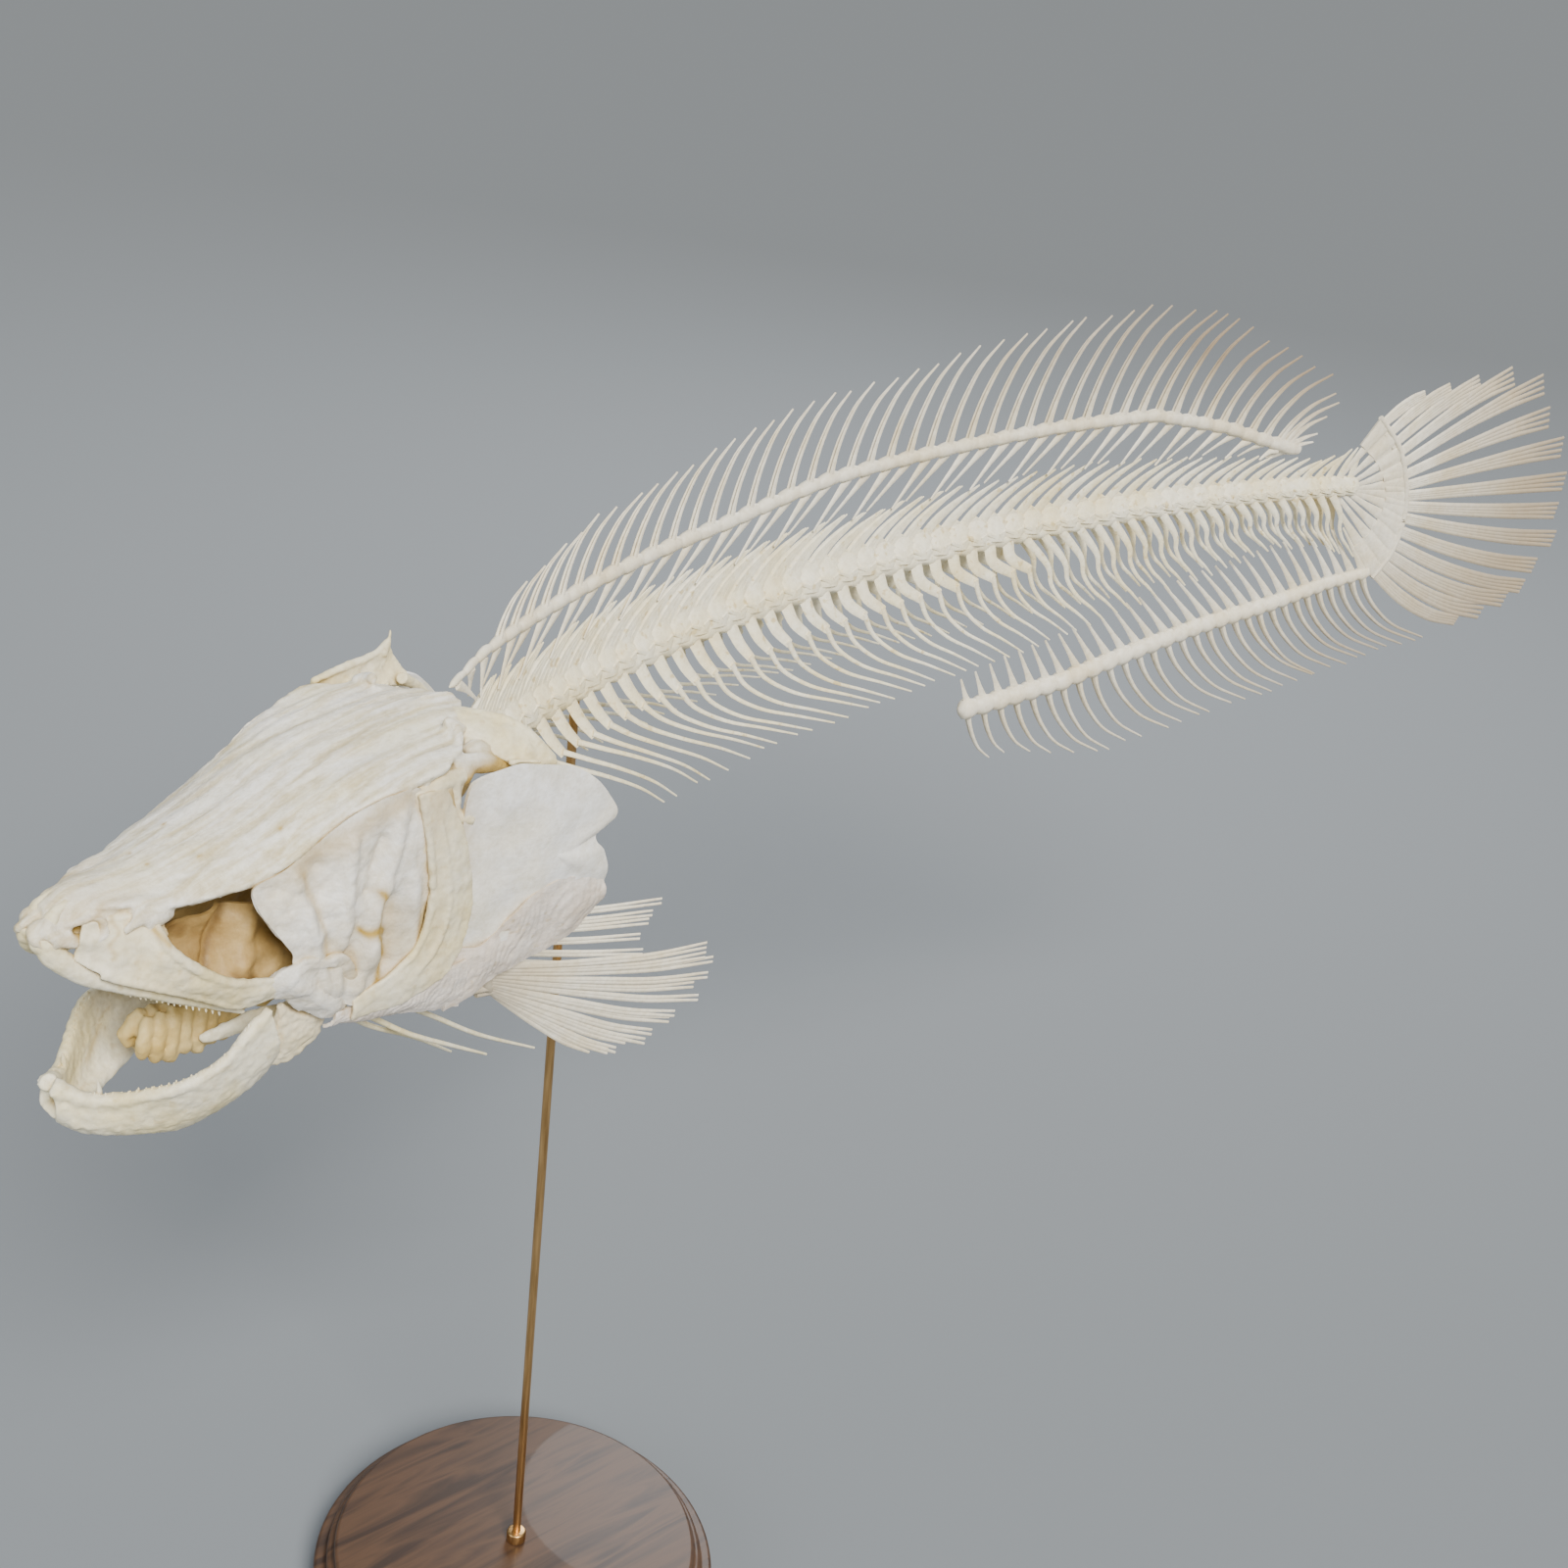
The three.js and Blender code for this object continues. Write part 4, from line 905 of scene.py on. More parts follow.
for name, side in SIDES.items():
    upper, lower = head_points(JAW_UPPER, side), head_points(JAW_LOWER, side)

    def bar_relief(u, v):
        return side * (2.0 * np.sin(v * math.pi) + 0.5 * np.sin(v * math.pi * 2))

    bar = walled(plate("bar", upper, lower, bar_relief, 60, 18), 3.4)
    lip = rod("lip", upper - head_up * 0.6, [2.6, 2.5, 2.2, 1.9, 1.8, 1.7, 1.5, 1], sides=10, steps=40)
    keel = rod("keel", lower + head_up * 0.8, [2.4, 2.6, 2.4, 2.2, 2, 1.6, 1.2, 0.8], sides=10, steps=40)
    knobs = [rod("knob", head_points([[x, y, z], [x - 1.5, y + 1, z - 3]], side), [r, r * 0.8])
             for x, y, z, r in CHIN_KNOBS]
    jaw = fused(f"dentary_{name}_bone", [bar, lip, keel, *knobs], 0.6, 3)
    uneven(jaw, 3, 0.8)
    row = teeth("tooth", upper + head_up * 0.6, 30, 1.9, 0.55, head_up, 0.12, 0.86)
    inner_line = upper + head_up * 0.4 - head_left * side * 1.4
    row += teeth("inner_tooth", inner_line, 20, 1.3, 0.45, head_up, 0.1, 0.6)
    row.append(rod("tall_tooth", head_points([[137, 8.5, -62], [137, 8.5, -58], [137.5, 8.5, -55]], side),
                   [1, 0.8, 0.15], side=head_back, sides=8, steps=4))
    jaw = joined(jaw.name, [jaw] + row)

    def groove_stain(points, side=side):
        x, y, z = head_coordinates(points).T
        jaw_front, jaw_rear = JAW_UPPER[0][0], JAW_UPPER[-1][0]
        place = np.clip((jaw_front - x) / (jaw_front - jaw_rear), 0, 1)
        top, bottom = along(JAW_UPPER, place), along(JAW_LOWER, place)
        height = (z - bottom[:, 2]) / (top[:, 2] - bottom[:, 2])
        inner = (y * side < (top[:, 1] + (bottom[:, 1] - top[:, 1]) * (1 - height)) - 0.5)
        groove = 0.8 * np.exp(-((height - 0.52 - 0.06 * np.sin(x * 0.4)) / 0.09) ** 2) * inner * (x < 136)
        pores = np.clip(np.sin(x * 1.1) - 0.75, 0, 1) * 3 * np.exp(-((height - 0.8) / 0.04) ** 2) * inner
        return 0.55 * groove + 0.5 * pores

    given_stain_and_shade(jaw, groove_stain)
    finished(jaw, "bone", f"dentary_{name}")

    hinge_upper = head_points([[89, 26, -40], [86, 26, -44], [81, 26.3, -46.5], [77, 26.5, -47.5],
                               [74, 26.5, -51]], side)
    hinge_lower = head_points([[92.5, 24.5, -58], [88, 24.5, -60.5], [83, 25, -59], [78, 25.5, -56.5],
                               [74.5, 26, -54]], side)

    def hinge_relief(u, v):
        return side * 1.6 * np.sin(v * math.pi) * np.sin(np.clip(u, 0.1, 0.9) * math.pi)

    parts = [walled(plate("hinge", hinge_upper, hinge_lower, hinge_relief, 30, 18), 2.2),
             rod("hinge_rim", hinge_upper, [1.2, 1.8, 2.2, 2.6, 1.6]),
             rod("hinge_keel", hinge_lower, [1, 1.6, 2, 2, 1.6])]
    hinge = fused(f"articular_{name}_bone", parts, 0.6, 2)
    uneven(hinge, 2, 1.2)
    given_stain_and_shade(hinge, even_stain(0.22))
    finished(hinge, "bone", f"articular_{name}")

# %% [markdown]
# ## Cheek
# Behind the jaw joint the cheek is a wall of thin plates: the palate's side, the plates behind the
# eye, the quadrate that carries the jaw, and two upright bars that the gill cover hangs on. Dried
# thin bone crumples, so these sheets are made uneven before Solidify gives them their wall.

# %% Palate and the plates behind the eye
PALATE_UPPER = [[128, 9, -12], [106, 11, -11], [84, 14, -10], [62, 18, -10]]
PALATE_LOWER = [[127, 12, -21], [106, 17, -30], [86, 20.5, -38], [64, 21.5, -42]]
POSTORBITAL = [[97, 22.5, 1], [90, 24, 3.5], [82, 25.2, 7.5], [73, 26, 12.5], [64, 27.6, 17],
               [54, 29.6, 19.5], [45, 30.5, 19], [39, 33, 6], [38, 34, -12], [41, 34, -34],
               [54, 34, -44], [66, 33.2, -45], [78, 32.6, -38], [88, 31.8, -27], [89, 31.4, -20],
               [93, 30, -14], [97, 27.5, -7.5], [98.5, 24.5, -2.5]]
CHEEK_FOLDS = [  # (forward, up) of a fold's two ends, its width and its height
    ((79, -34), (86, 2), 2.2, 1.8), ((75, -36), (69, 8), 2.6, 2.4), ((68, -38), (52, 14), 2.4, 2.0),
    ((90, -22), (95, -2), 2.5, -1.2), ((80, -12), (79, 3), 3, -1.8), ((72, -27), (70, -31), 4, -1.8),
    ((63, -8), (58, 6), 3, -2.2), ((56, -14), (56, -34), 3, -2.6), ((63, -25), (62, -31), 3, 2.2),
    ((48, -8), (47, -34), 2.2, 1.4)]
PALATE_FOLDS = [((90, -10), (99, -36), 3.5, 3.2), ((98, -10), (107, -30), 2.2, -3),
                ((78, -26), (98, -27), 2.5, 2.2)]


def folded(sheet, folds):
    """Raises each of the folds on a sheet of the head."""
    return sculpted(sheet, lambda x, y, z: sum(height * near_line(x, z, start, end, width)
                                               for start, end, width, height in folds))


def crumpled(sheet, size, amount, wall):
    """A dried thin sheet: large folds, then small ones, then its wall."""
    uneven(sheet, size, amount)
    uneven(sheet, size / 3.5, amount / 4)
    return walled(sheet, wall)


for name, side in SIDES.items():
    outward = head_left * side
    palate = plate(f"palate_{name}_bone", head_points(PALATE_UPPER, side), head_points(PALATE_LOWER, side),
                   arched(-side * 2.5), 90, 34)
    folded(palate, PALATE_FOLDS)
    crumpled(palate, 10, 2.6, 1.2)

    def palate_stain_and_shade(points):
        x, _, z = head_coordinates(points).T
        # Painted shade: the palate's front under the roof, the gap below it and its upper front corner are
        # darkened where the eye socket is deep; the seam and the clouds are the bone's own.
        seam = near_line(x, z, (97.5, -10), (106.5, -31), 1.1)
        front_wall_shade = np.clip((x - 99) / 8, 0, 1)
        gap_shade = near_line(x, z, (99, -31), (94, -33), 2.2)
        corner_shade = near_line(x, z, (118, -10), (112, -14), 3.5)
        clouds = 0.12 + 0.1 * np.sin(x * 0.3 + z * 0.2)
        return np.maximum.reduce([clouds, 0.8 * seam, 0.35 * front_wall_shade, gap_shade, 0.8 * corner_shade])

    given_stain_and_shade(palate, palate_stain_and_shade)
    finished(palate, "thin_bone", f"palate_{name}", finish="mouth_with_painted_shade")

    cheek = disc(f"infraorbital_{name}_bone", head_points(POSTORBITAL, side), outward, domed(1.6), 162, 44)
    uneven(cheek, 17, 2.5)
    folded(cheek, CHEEK_FOLDS)
    crumpled(cheek, 6.5, 1.8, 1.0)

    def cheek_stain_and_shade(points):
        x, _, z = head_coordinates(points).T
        # Painted shade: the hollow and the strip under the roof's edge are darkened; the crack, the ledge
        # and the front seam are real dark lines.
        crack = near_line(x + 1.5 * np.sin(z * 0.35), z, (60, -9), (58.5, -40), 1.5)
        ledge = near_line(x, z + np.sin(x * 0.7), (67, -19), (58, -23), 1.4)
        hollow_shade = near_line(x, z, (55, -18), (56, -32), 4)
        shade_below_roof = near_line(x, z, (84, 4), (50, 18), 3.5)
        front_seam = near_line(x, z + np.sin(x), (83, 2), (77, -26), 1.3)
        lines = np.maximum.reduce([crack, ledge, 0.45 * front_seam])
        return lines + 0.35 * hollow_shade + 0.45 * shade_below_roof

    given_stain_and_shade(cheek, cheek_stain_and_shade)
    finished(cheek, "thin_bone", f"infraorbital_{name}", finish="cheek")

# %% Quadrate
QUADRATE = [[96.5, 29, -28.5], [93, 30.2, -24.5], [88.5, 31.8, -23.2], [85, 32.6, -21.5],
            [79, 33.4, -24], [73, 33.6, -24.5], [68.5, 33.6, -31], [67, 33, -38], [71, 32, -44.5],
            [77, 30, -46], [82, 28.8, -42.5], [86, 28.4, -40.5], [90, 28.4, -35], [94, 28.6, -33]]
QUADRATE_FOLDS = [((90, -28), (76, -42), 3, 2.2), ((78, -30), (71, -38), 3, -1.6)]

for name, side in SIDES.items():
    block = disc("quadrate_block", head_points(QUADRATE, side), head_left * side, domed(0.6), 72, 16)
    folded(block, QUADRATE_FOLDS)
    walled(uneven(block, 6, 1.6), 2.8)
    ridge = rod("quadrate_ridge", head_points([[93, 30.2, -27], [86, 32.6, -24.5], [76, 34, -27]], side),
                [0.9, 1.5, 0.9])
    knob = rod("quadrate_knob", head_points([[82, 25.5, -42], [79, 25.5, -45], [75, 25.5, -46]], side),
               [2, 2.6, 2])
    quadrate = fused(f"quadrate_{name}_bone", [block, ridge, knob], 0.6, 2)
    uneven(quadrate, 3, 0.7)
    given_stain_and_shade(quadrate, lambda points: 0.35 * np.clip((77 - head_coordinates(points)[:, 0]) / 8, 0, 1))
    finished(quadrate, "bone", f"quadrate_{name}", finish="cheek")

# %% Upright bars of the cheek
HYO_UPPER = [[46.5, 29, 19], [38, 30, 20], [27, 28.5, 18]]
HYO_LOWER = [[46, 31, -31], [40, 31, -32], [34, 31, -31]]
PRE_FRONT = [[46.5, 31.8, 18], [43.5, 34.8, -4], [44, 35.6, -26], [54, 35, -37], [69, 33.6, -42]]
PRE_REAR = [[36, 31.5, 18], [29.5, 35.4, -3], [27, 37, -26], [35, 36.8, -43], [50, 35.4, -49.5],
            [69, 33.4, -49]]
HYO_RIDGES = [(44, 1.7), (38.5, 2.1), (31, 1.6)]  # forward place and radius
PRE_RIDGES = [  # share of the way from front to rear, lift and radii
    (0.04, 0.2, [1, 1.3, 1.3, 1.2, 0.8]), (0.4, 0.6, [0.8, 1.3, 1.5, 1.2, 0.9, 0.5]),
    (0.72, 0.4, [0.5, 0.9, 0.8, 0.7, 0.6, 0.4])]

for name, side in SIDES.items():
    sheet = plate("hyomandibula", head_points(HYO_UPPER, side), head_points(HYO_LOWER, side), None, 40, 60)
    walled(uneven(sheet, 6, 1.6), 2.2)
    parts = [sheet]
    for x, radius in HYO_RIDGES:
        line = head_points([[x + 1, 29.8, 18], [x, 32.2, -3], [x, 32.6, -20], [x, 31.8, -31]], side)
        parts.append(rod("ridge", line, [radius * 1.4, radius, radius, radius * 0.8]))
    line = head_points([[47, 28.5, 17], [38, 29.5, 18], [27, 28.5, 17]], side)
    parts.append(rod("hinge_head", line, [2.6, 3.2, 2.8]))
    line = head_points([[33, 30, 6], [29, 32, 5], [26, 33.5, 4]], side)
    parts.append(rod("cover_hinge", line, [2.6, 2.4, 1.8]))
    upright = fused(f"hyomandibula_{name}_bone", parts, 0.6, 2)
    uneven(upright, 4, 0.9)
    given_stain_and_shade(upright, even_stain(0.16))
    finished(upright, "bone", f"hyomandibula_{name}")

    front, rear = head_points(PRE_FRONT, side), head_points(PRE_REAR, side)
    crescent = plate("crescent", front, rear, arched(-side * 0.8), 100, 22)
    parts = [walled(uneven(uneven(crescent, 12, 2), 4, 0.8), 1.4)]
    places = np.linspace(0, 1, 6)
    for share, lift, radii in PRE_RIDGES:
        line = along(front, places) * (1 - share) + along(rear, places) * share + head_left * side * lift
        parts.append(rod("upright_ridge", line, radii, steps=30))
    crescent = fused(f"preopercle_{name}_bone", parts, 0.5, 3)
    uneven(crescent, 3, 0.5)

    def crescent_stain(points):
        x, _, z = head_coordinates(points).T
        return 0.05 + 0.22 * np.clip((z + 2) / 16, 0, 1) + 0.14 * np.exp(-((x - 41) / 3) ** 2)

    given_stain_and_shade(crescent, crescent_stain)
    finished(crescent, "bone", f"preopercle_{name}")

# %% [markdown]
# ## Gill cover and what is under it
# The gill cover is a bright, smooth disc with a notch behind, over a wrinkled band. Under it are
# the bars of the tongue's bone with their long thin rods, and in the middle the gill arches.

# %% Gill cover
OPERCLE = [[29, 33, 12], [25, 34, 17.5], [12, 36, 19], [4, 37, 17], [-10, 38, 12.5], [-19, 39, 6],
           [-27, 39.8, -4], [-28.5, 40, -9], [-26, 39.7, -12], [-22.3, 39.4, -14.6],
           [-22, 39.3, -17.4], [-25.5, 39.5, -22], [-27.5, 39, -31], [-25, 38.6, -37],
           [-14, 38.4, -38], [-3, 38, -38.5], [6, 37, -43], [14, 35.8, -48], [24, 34, -50],
           [31, 33.5, -30], [31, 33.5, -8]]
NOTCH, BULGE = 0.43, 0.56  # shares of the turn round the cover's outline
BANDS = [  # name, upper and lower edge, columns, rows, size and depth of the folds, wall
    ("subopercle", [[31, 34.2, -39], [21, 36.6, -40], [12, 38.2, -33], [5, 39.4, -27], [-5, 40.4, -24.5],
                    [-16, 40.6, -27], [-26.5, 39.8, -32]],
     [[31, 32, -62.5], [21, 33.8, -59], [12, 34.8, -56], [4, 35.6, -53.5], [-8, 36.8, -51.5],
      [-18, 38, -48.5], [-26.5, 39, -40.5]], 200, 40, 12, 2.2, 0.9),
    ("interopercle", [[74, 32.5, -45], [54, 35, -46], [40, 36, -45], [27, 36.4, -43]],
     [[76, 30, -50.5], [54, 31.4, -55], [40, 32.2, -58.5], [25, 32.4, -63]], 160, 26, 10, 2.0, 1.0)]

for name, side in SIDES.items():
    outward = head_left * side

    def cover_relief(reach, turn):
        notch_fold = np.exp(-((turn - NOTCH) / 0.035) ** 2) * np.clip(reach - 0.4, 0, 1) * 2
        lower_bulge = np.exp(-((turn - BULGE) / 0.06) ** 2) * reach * (1 - reach) * 6
        return 2.6 * (1 - reach**2) - notch_fold + lower_bulge

    cover = disc(f"opercle_{name}_bone", head_points(OPERCLE, side), outward, cover_relief, 160, 34)
    uneven(cover, 14, 2.2)
    walled(cover, 1.3)

    def cover_stain(points):
        x, _, z = head_coordinates(points).T
        return 0.35 * np.clip((x - 22) / 8, 0, 1) * np.clip((z + 25) / 30, 0, 1)

    given_stain_and_shade(cover, cover_stain)
    finished(cover, "thin_bone", f"opercle_{name}")

    def wrinkles(u, v):
        arch = np.sin(v * math.pi)
        return side * (1.2 * arch + 0.1 * np.sin(u * 110 - v * 16 + 4 * np.sin(u * 17 + v * 5)) * arch)

    for bone, upper, lower, columns, rows, size, depth, wall in BANDS:
        band = plate(f"{bone}_{name}_bone", head_points(upper, side), head_points(lower, side), wrinkles,
                     columns, rows)
        crumpled(band, size, depth, wall)
        given_stain_and_shade(band, even_stain(0.05))
        finished(band, "thin_bone", f"{bone}_{name}", finish="skin")

# %% Tongue bone with its long rods
WHISKERS = [
    [[76, 15.5, -54], [62, 17, -58], [48, 20, -68], [30, 19, -80], [12, 18, -94]],
    [[68, 18, -53], [54, 21, -60], [38, 25, -72], [20, 25, -84], [3, 25, -95]],
    [[58, 21, -52], [47, 23.5, -58], [33, 25, -66], [8, 25, -85], [-19, 25, -102]]]

for name, side in SIDES.items():
    line = head_points([[102.5, 7, -56], [99, 8.5, -56], [84, 13, -53], [62, 20, -52], [46, 24, -44]], side)
    bar = rod("hyoid_bar", line, [0.7, 2.4, 3.2, 3.6, 2], side=head_up, flat=0.6, sides=12, steps=30)
    hyoid = fused(f"hyoid_{name}_bone", [bar], 0.6, 2)
    uneven(hyoid, 4, 1.2)
    thin = [rod("whisker", head_points(row, side), [1.3, 1.0, 0.85, 0.7, 0.4], steps=24)
            for row in WHISKERS]
    finished(joined(hyoid.name, [hyoid] + thin), "bone", f"hyoid_{name}")

# %% Gill arches
FOLDS = [(119, -57, 2.4), (114.5, -60, 2.7), (110, -62, 2.9), (105, -61, 2.6), (100.5, -63, 2.8),
         (96, -61.5, 2.6), (91.5, -62, 2.7), (87, -59, 2.4)]  # forward place, lower end, radius
ARCH_PLACES = (88, 75, 62, 49)
RAKERS = 9

parts = [rod("tongue", head_points([[118, 0, -51], [104, 0, -52], [76, 0, -54], [32, 0, -52]]),
             [4.5, 5, 4, 2.5], side=head_left, flat=0.7, sides=14, steps=30)]
for x, deep, r in FOLDS:
    for y in (-3, 3):
        fold = head_points([[x - 3, y * 0.5, -46], [x - 1, y, -50], [x + 0.5, y * 1.3, (deep - 50) / 2],
                            [x, y * 1.2, deep + 1], [x - 3, y * 0.8, deep + 0.5]])
        parts.append(rod("fold", fold, [r * 0.6, r, r, r * 0.9, r * 0.3], side=head_back, sides=12,
                         steps=20))
for x in ARCH_PLACES:
    for side in SIDES.values():
        line = head_points([[x, 1, -53], [x - 8, 7, -52], [x - 15, 11.5, -45], [x - 21, 12.5, -36],
                            [x - 19, 9, -25]], side)
        parts.append(rod("arch", line, [2.2, 1.9, 1.7, 1.6, 1], side=head_up, steps=24))
        for step in range(RAKERS):
            foot = along(line, np.array(0.1 + step * 0.09))
            parts.append(rod("raker", [foot, foot - head_back * 2.6 + head_up * 1.2], [0.9, 0.4],
                             side=head_left, sides=6, steps=2))
arches = fused("gill_arches_bone", parts, 0.6, 4)
uneven(arches, 4, 1.4)
given_stain_and_shade(arches, lambda points: 0.26 + 0.16 * np.clip((head_coordinates(points)[:, 0] - 60) / 30, 0, 1))
finished(arches, "bone", "gill_arches", finish="gills")

# %% [markdown]
# ## Shoulder and pectoral fins
# A flat, pointed plate ties the shoulder to the skull, and on the right it carries a small horn. A
# curved bar hangs behind the gill cover. A pectoral fin stands on the bar: four short bones in a
# row, and a fan of flat rays. Each ray is two halves that part towards its blunt tip.

# %% Shoulder
# The left plate lies along the neck, and the right one, the flare, stands up from the skull.
LINK_UPPER = [[13, 7, 25.5], [4, 18, 24.8], [-1.5, 26, 21.5], [-8, 31.5, 13.5]]
LINK_LOWER = [[18, 15, 21.5], [12, 23, 17.5], [4, 29, 12.5], [-7.5, 31.5, 11]]
FLARE_UPPER = [[35, 31, 24.5], [22, 32, 25.5], [10, 33, 26], [3, 34.5, 28.5]]
FLARE_LOWER = [[34, 30, 20], [20, 30, 18], [6, 31, 15], [-7.5, 31.5, 11]]
SHOULDER = [[-12, 28, 2], [-9, 30.5, -8], [-4, 30.5, -20], [2, 27, -38], [10, 22.5, -53], [22, 14, -63],
            [34, 7, -69]]

for name, side in SIDES.items():
    upper = head_points(LINK_UPPER if side > 0 else FLARE_UPPER, side)
    lower = head_points(LINK_LOWER if side > 0 else FLARE_LOWER, side)
    link_plate = plate("link", upper, lower, arched(side * 1.2), 60, 24)
    fork = [walled(uneven(uneven(link_plate, 8, 2), 2.5, 0.6), 1.6),
            rod("link_rim", upper, [1.0, 1.3, 1.2, 0.6], sides=10, steps=30),
            rod("link_root", head_points([[18, 18, 20], [12, 21, 18], [6, 25, 16]], side), [2, 2.4, 1.6]),
            rod("link_tail", head_points([[2, 28, 18], [-6, 30.5, 12.5], [-14, 31, 6]], side),
                [2, 1.8, 0.9], sides=10, steps=20),
            rod("strut", head_points([[8, 28, 15], [5, 31, 16], [1, 34.5, 16]], side), [1, 0.7, 0.5])]
    if side < 0:
        fork.append(rod("horn", head_points([[6, 33, 25], [3, 34, 28], [1, 35.5, 31.5]], side),
                        [2, 1.4, 0.4], flat=0.6, steps=12))
    link_bone = fused(f"posttemporal_{name}_bone", fork, 0.5, 2)
    uneven(link_bone, 3, 0.6)
    finished(link_bone, "bone", f"posttemporal_{name}")

    line = head_points(SHOULDER, side)
    bar = rod("shoulder_bar", line, [1, 2.6, 3.4, 3.6, 3.6, 3, 1.6], side=head_back, flat=0.55,
              sides=14, steps=50)
    wing_edge = line[2:6] - head_back * 5 + head_left * side * 1.5
    wing = plate("shoulder_wing", line[2:6] - head_back * 1, wing_edge, None, 30, 8)
    shoulder = fused(f"cleithrum_{name}_bone", [bar, walled(wing, 1.4)], 0.6, 2)
    uneven(shoulder, 3, 0.8)
    finished(shoulder, "bone", f"cleithrum_{name}")

# %% Pectoral fins
PECTORAL_ROOT = [[13, 31, -54], [12, 30.5, -59], [10, 29.5, -63.5], [7, 28, -67]]
PECTORAL_TIPS = {
    "left": [[-69, 51, -68], [-74, 49, -80], [-72, 45, -95], [-62, 41, -105], [-48, 38, -107],
             [-34, 35, -104]],
    "right": [[-93, -8, -81], [-96, -8, -90], [-91, -6, -97], [-80, -4, -104], [-66, 0, -108],
              [-52, 4, -108]]}
PECTORAL_SAG = {"left": 2, "right": 9}
PECTORAL_RAYS = {"left": 14, "right": 9}
RADIALS = 4

for name, side in SIDES.items():
    root = head_points(PECTORAL_ROOT, side)
    tips = head_points(PECTORAL_TIPS[name], side)
    rays = []
    for ray in range(PECTORAL_RAYS[name]):
        t = ray / (PECTORAL_RAYS[name] - 1)
        foot = along(root, np.array(t))
        end = along(tips, np.clip(np.array(t + 0.02 * math.sin(ray * 2.4)), 0, 1))
        end = end + (end - foot) * 0.09 * noise.noise(Vector((ray * 1.7, 0.3, side)))
        belly = (foot + end) / 2 - head_up * PECTORAL_SAG[name]
        for half in (-1, 1):
            shift = head_up * half * 0.55
            line = [foot + shift * 0.6, (foot + belly) / 2 + shift * 0.6 - head_up * 0.5, belly + shift,
                    (belly + end) / 2 + shift * 1.1 - head_up * 0.8, end + shift * 1.8 + head_up * 0.6]
            rays.append(rod("ray", line, [1.2, 0.95, 0.9, 0.85, 0.5], side=head_up, flat=0.6, sides=6,
                            steps=20))
    for ray in range(RADIALS):
        foot = along(root, np.array(0.1 + ray * 0.27))
        line = [foot - head_back * 5 + head_left * side * -1, foot, foot + head_back * 1.5]
        rays.append(rod("radial", line, [1.6, 2, 1.5], sides=10, steps=8))
    rays.append(rod("fin_base", root + head_left * side * 0.2, [1.6, 1.8, 1.8, 1.4], sides=10, steps=16))
    fin = joined(f"pectoral_fin_{name}_rays", rays)

    def fin_stain(points, root=root):
        reach = np.linalg.norm(points - root.mean(axis=0), axis=1)
        return np.clip(0.55 - reach / 60, 0.05, 0.5)

    given_stain_and_shade(fin, fin_stain)
    finished(fin, "fin_rays", f"pectoral_fin_{name}")

# %% [markdown]
# ## Backbone
# A vertebra's body is an hourglass, hollow at both ends. It is one straight rod whose rings take
# the hourglass's radii, copied along the line. Over it two thin walls close into an arch and run
# on as a blade that leans back over the next ones. From the fifth vertebra on, a flat process and
# a thin rib hang on each side. Behind the belly the two are one slim bar.

# %% One vertebra
VERTEBRA_PROFILE = [(0, 0.1), (0.02, 0.5), (0, 1), (0.1, 1.03), (0.3, 0.86), (0.5, 0.8), (0.7, 0.86),
                    (0.9, 1.03), (1, 1), (0.98, 0.5), (1, 0.1)]


def vertebra_template():
    """A ringed rod from x = 0 to x = 1, with the hourglass as its outline."""
    shape = copy_of(straight_rod(20, len(VERTEBRA_PROFILE) - 1), "vertebra")
    raw = raw_points(shape)
    ring = np.round(raw[:, 0] * (len(VERTEBRA_PROFILE) - 1)).astype(int)
    profile = np.array(VERTEBRA_PROFILE)
    placed = np.stack([profile[ring, 0], raw[:, 1] * profile[ring, 1], raw[:, 2] * profile[ring, 1]], -1)
    shape.data.vertices.foreach_set("co", placed.ravel())
    return shape


shape_library["vertebra"] = vertebra_template()


def body_back(s):
    """The direction tailwards at share s of the backbone."""
    return axes_of(spine_heading(np.clip(s, 0, 1)), spine_pitch(np.clip(s, 0, 1)))[0]


def vertebra(index):
    piece = copy_of(shape_library["vertebra"], "centrum")
    raw = raw_points(piece)
    start, end = (index - 0.01) / VERTEBRAE, (index + 1.01) / VERTEBRAE
    s = start + (end - start) * raw[:, 0]
    radius = graph(VERTEBRA_RADII, s)
    angle = np.arctan2(raw[:, 2], raw[:, 1])
    ridges = 1 + 0.06 * np.cos(angle * 5 + index) * (np.abs(raw[:, 0] - 0.5) < 0.4)
    return put_points(piece, body(s, raw[:, 1] * radius * ridges, raw[:, 2] * radius * ridges))


def body_line(rows):
    rows = np.array(rows, float)
    return body(rows[:, 0], rows[:, 1], rows[:, 2])


def wobble(index, key):
    """A number of about -1 to 1 that stays the same each time."""
    return noise.noise(Vector((index * 1.37, key * 5.1, 0.5))) * 1.6


# %% Arches and their spines
ARCH_HEIGHT = [(0, 22), (0.15, 25), (0.6, 24), (0.8, 18), (0.9, 14), (0.97, 19), (1, 21)]
ARCH_LEAN = [(0, 16), (0.15, 22), (0.6, 26), (0.8, 22), (0.93, 19), (1, 2)]
BLADE_WIDTH = [(0, 1.1), (0.3, 1), (0.45, 0.75), (0.7, 0.6), (1, 0.5)]
ARCH_TOP = 2.1  # height where an arch closes, in centrum radii
RIBBED_BLADES = 26  # the blades of this many vertebrae are ribbed
FACETS = [  # name, (share tailwards, out, up) of the two ends, and radii
    ("facet", (-0.002, 0.82, 0.75), (-0.0105, 0.92, 1.2), [1.3, 0.5]),
    ("rear_facet", (0.002, 0.8, 0.8), (0.009, 0.8, 1.15), [1.2, 0.6])]


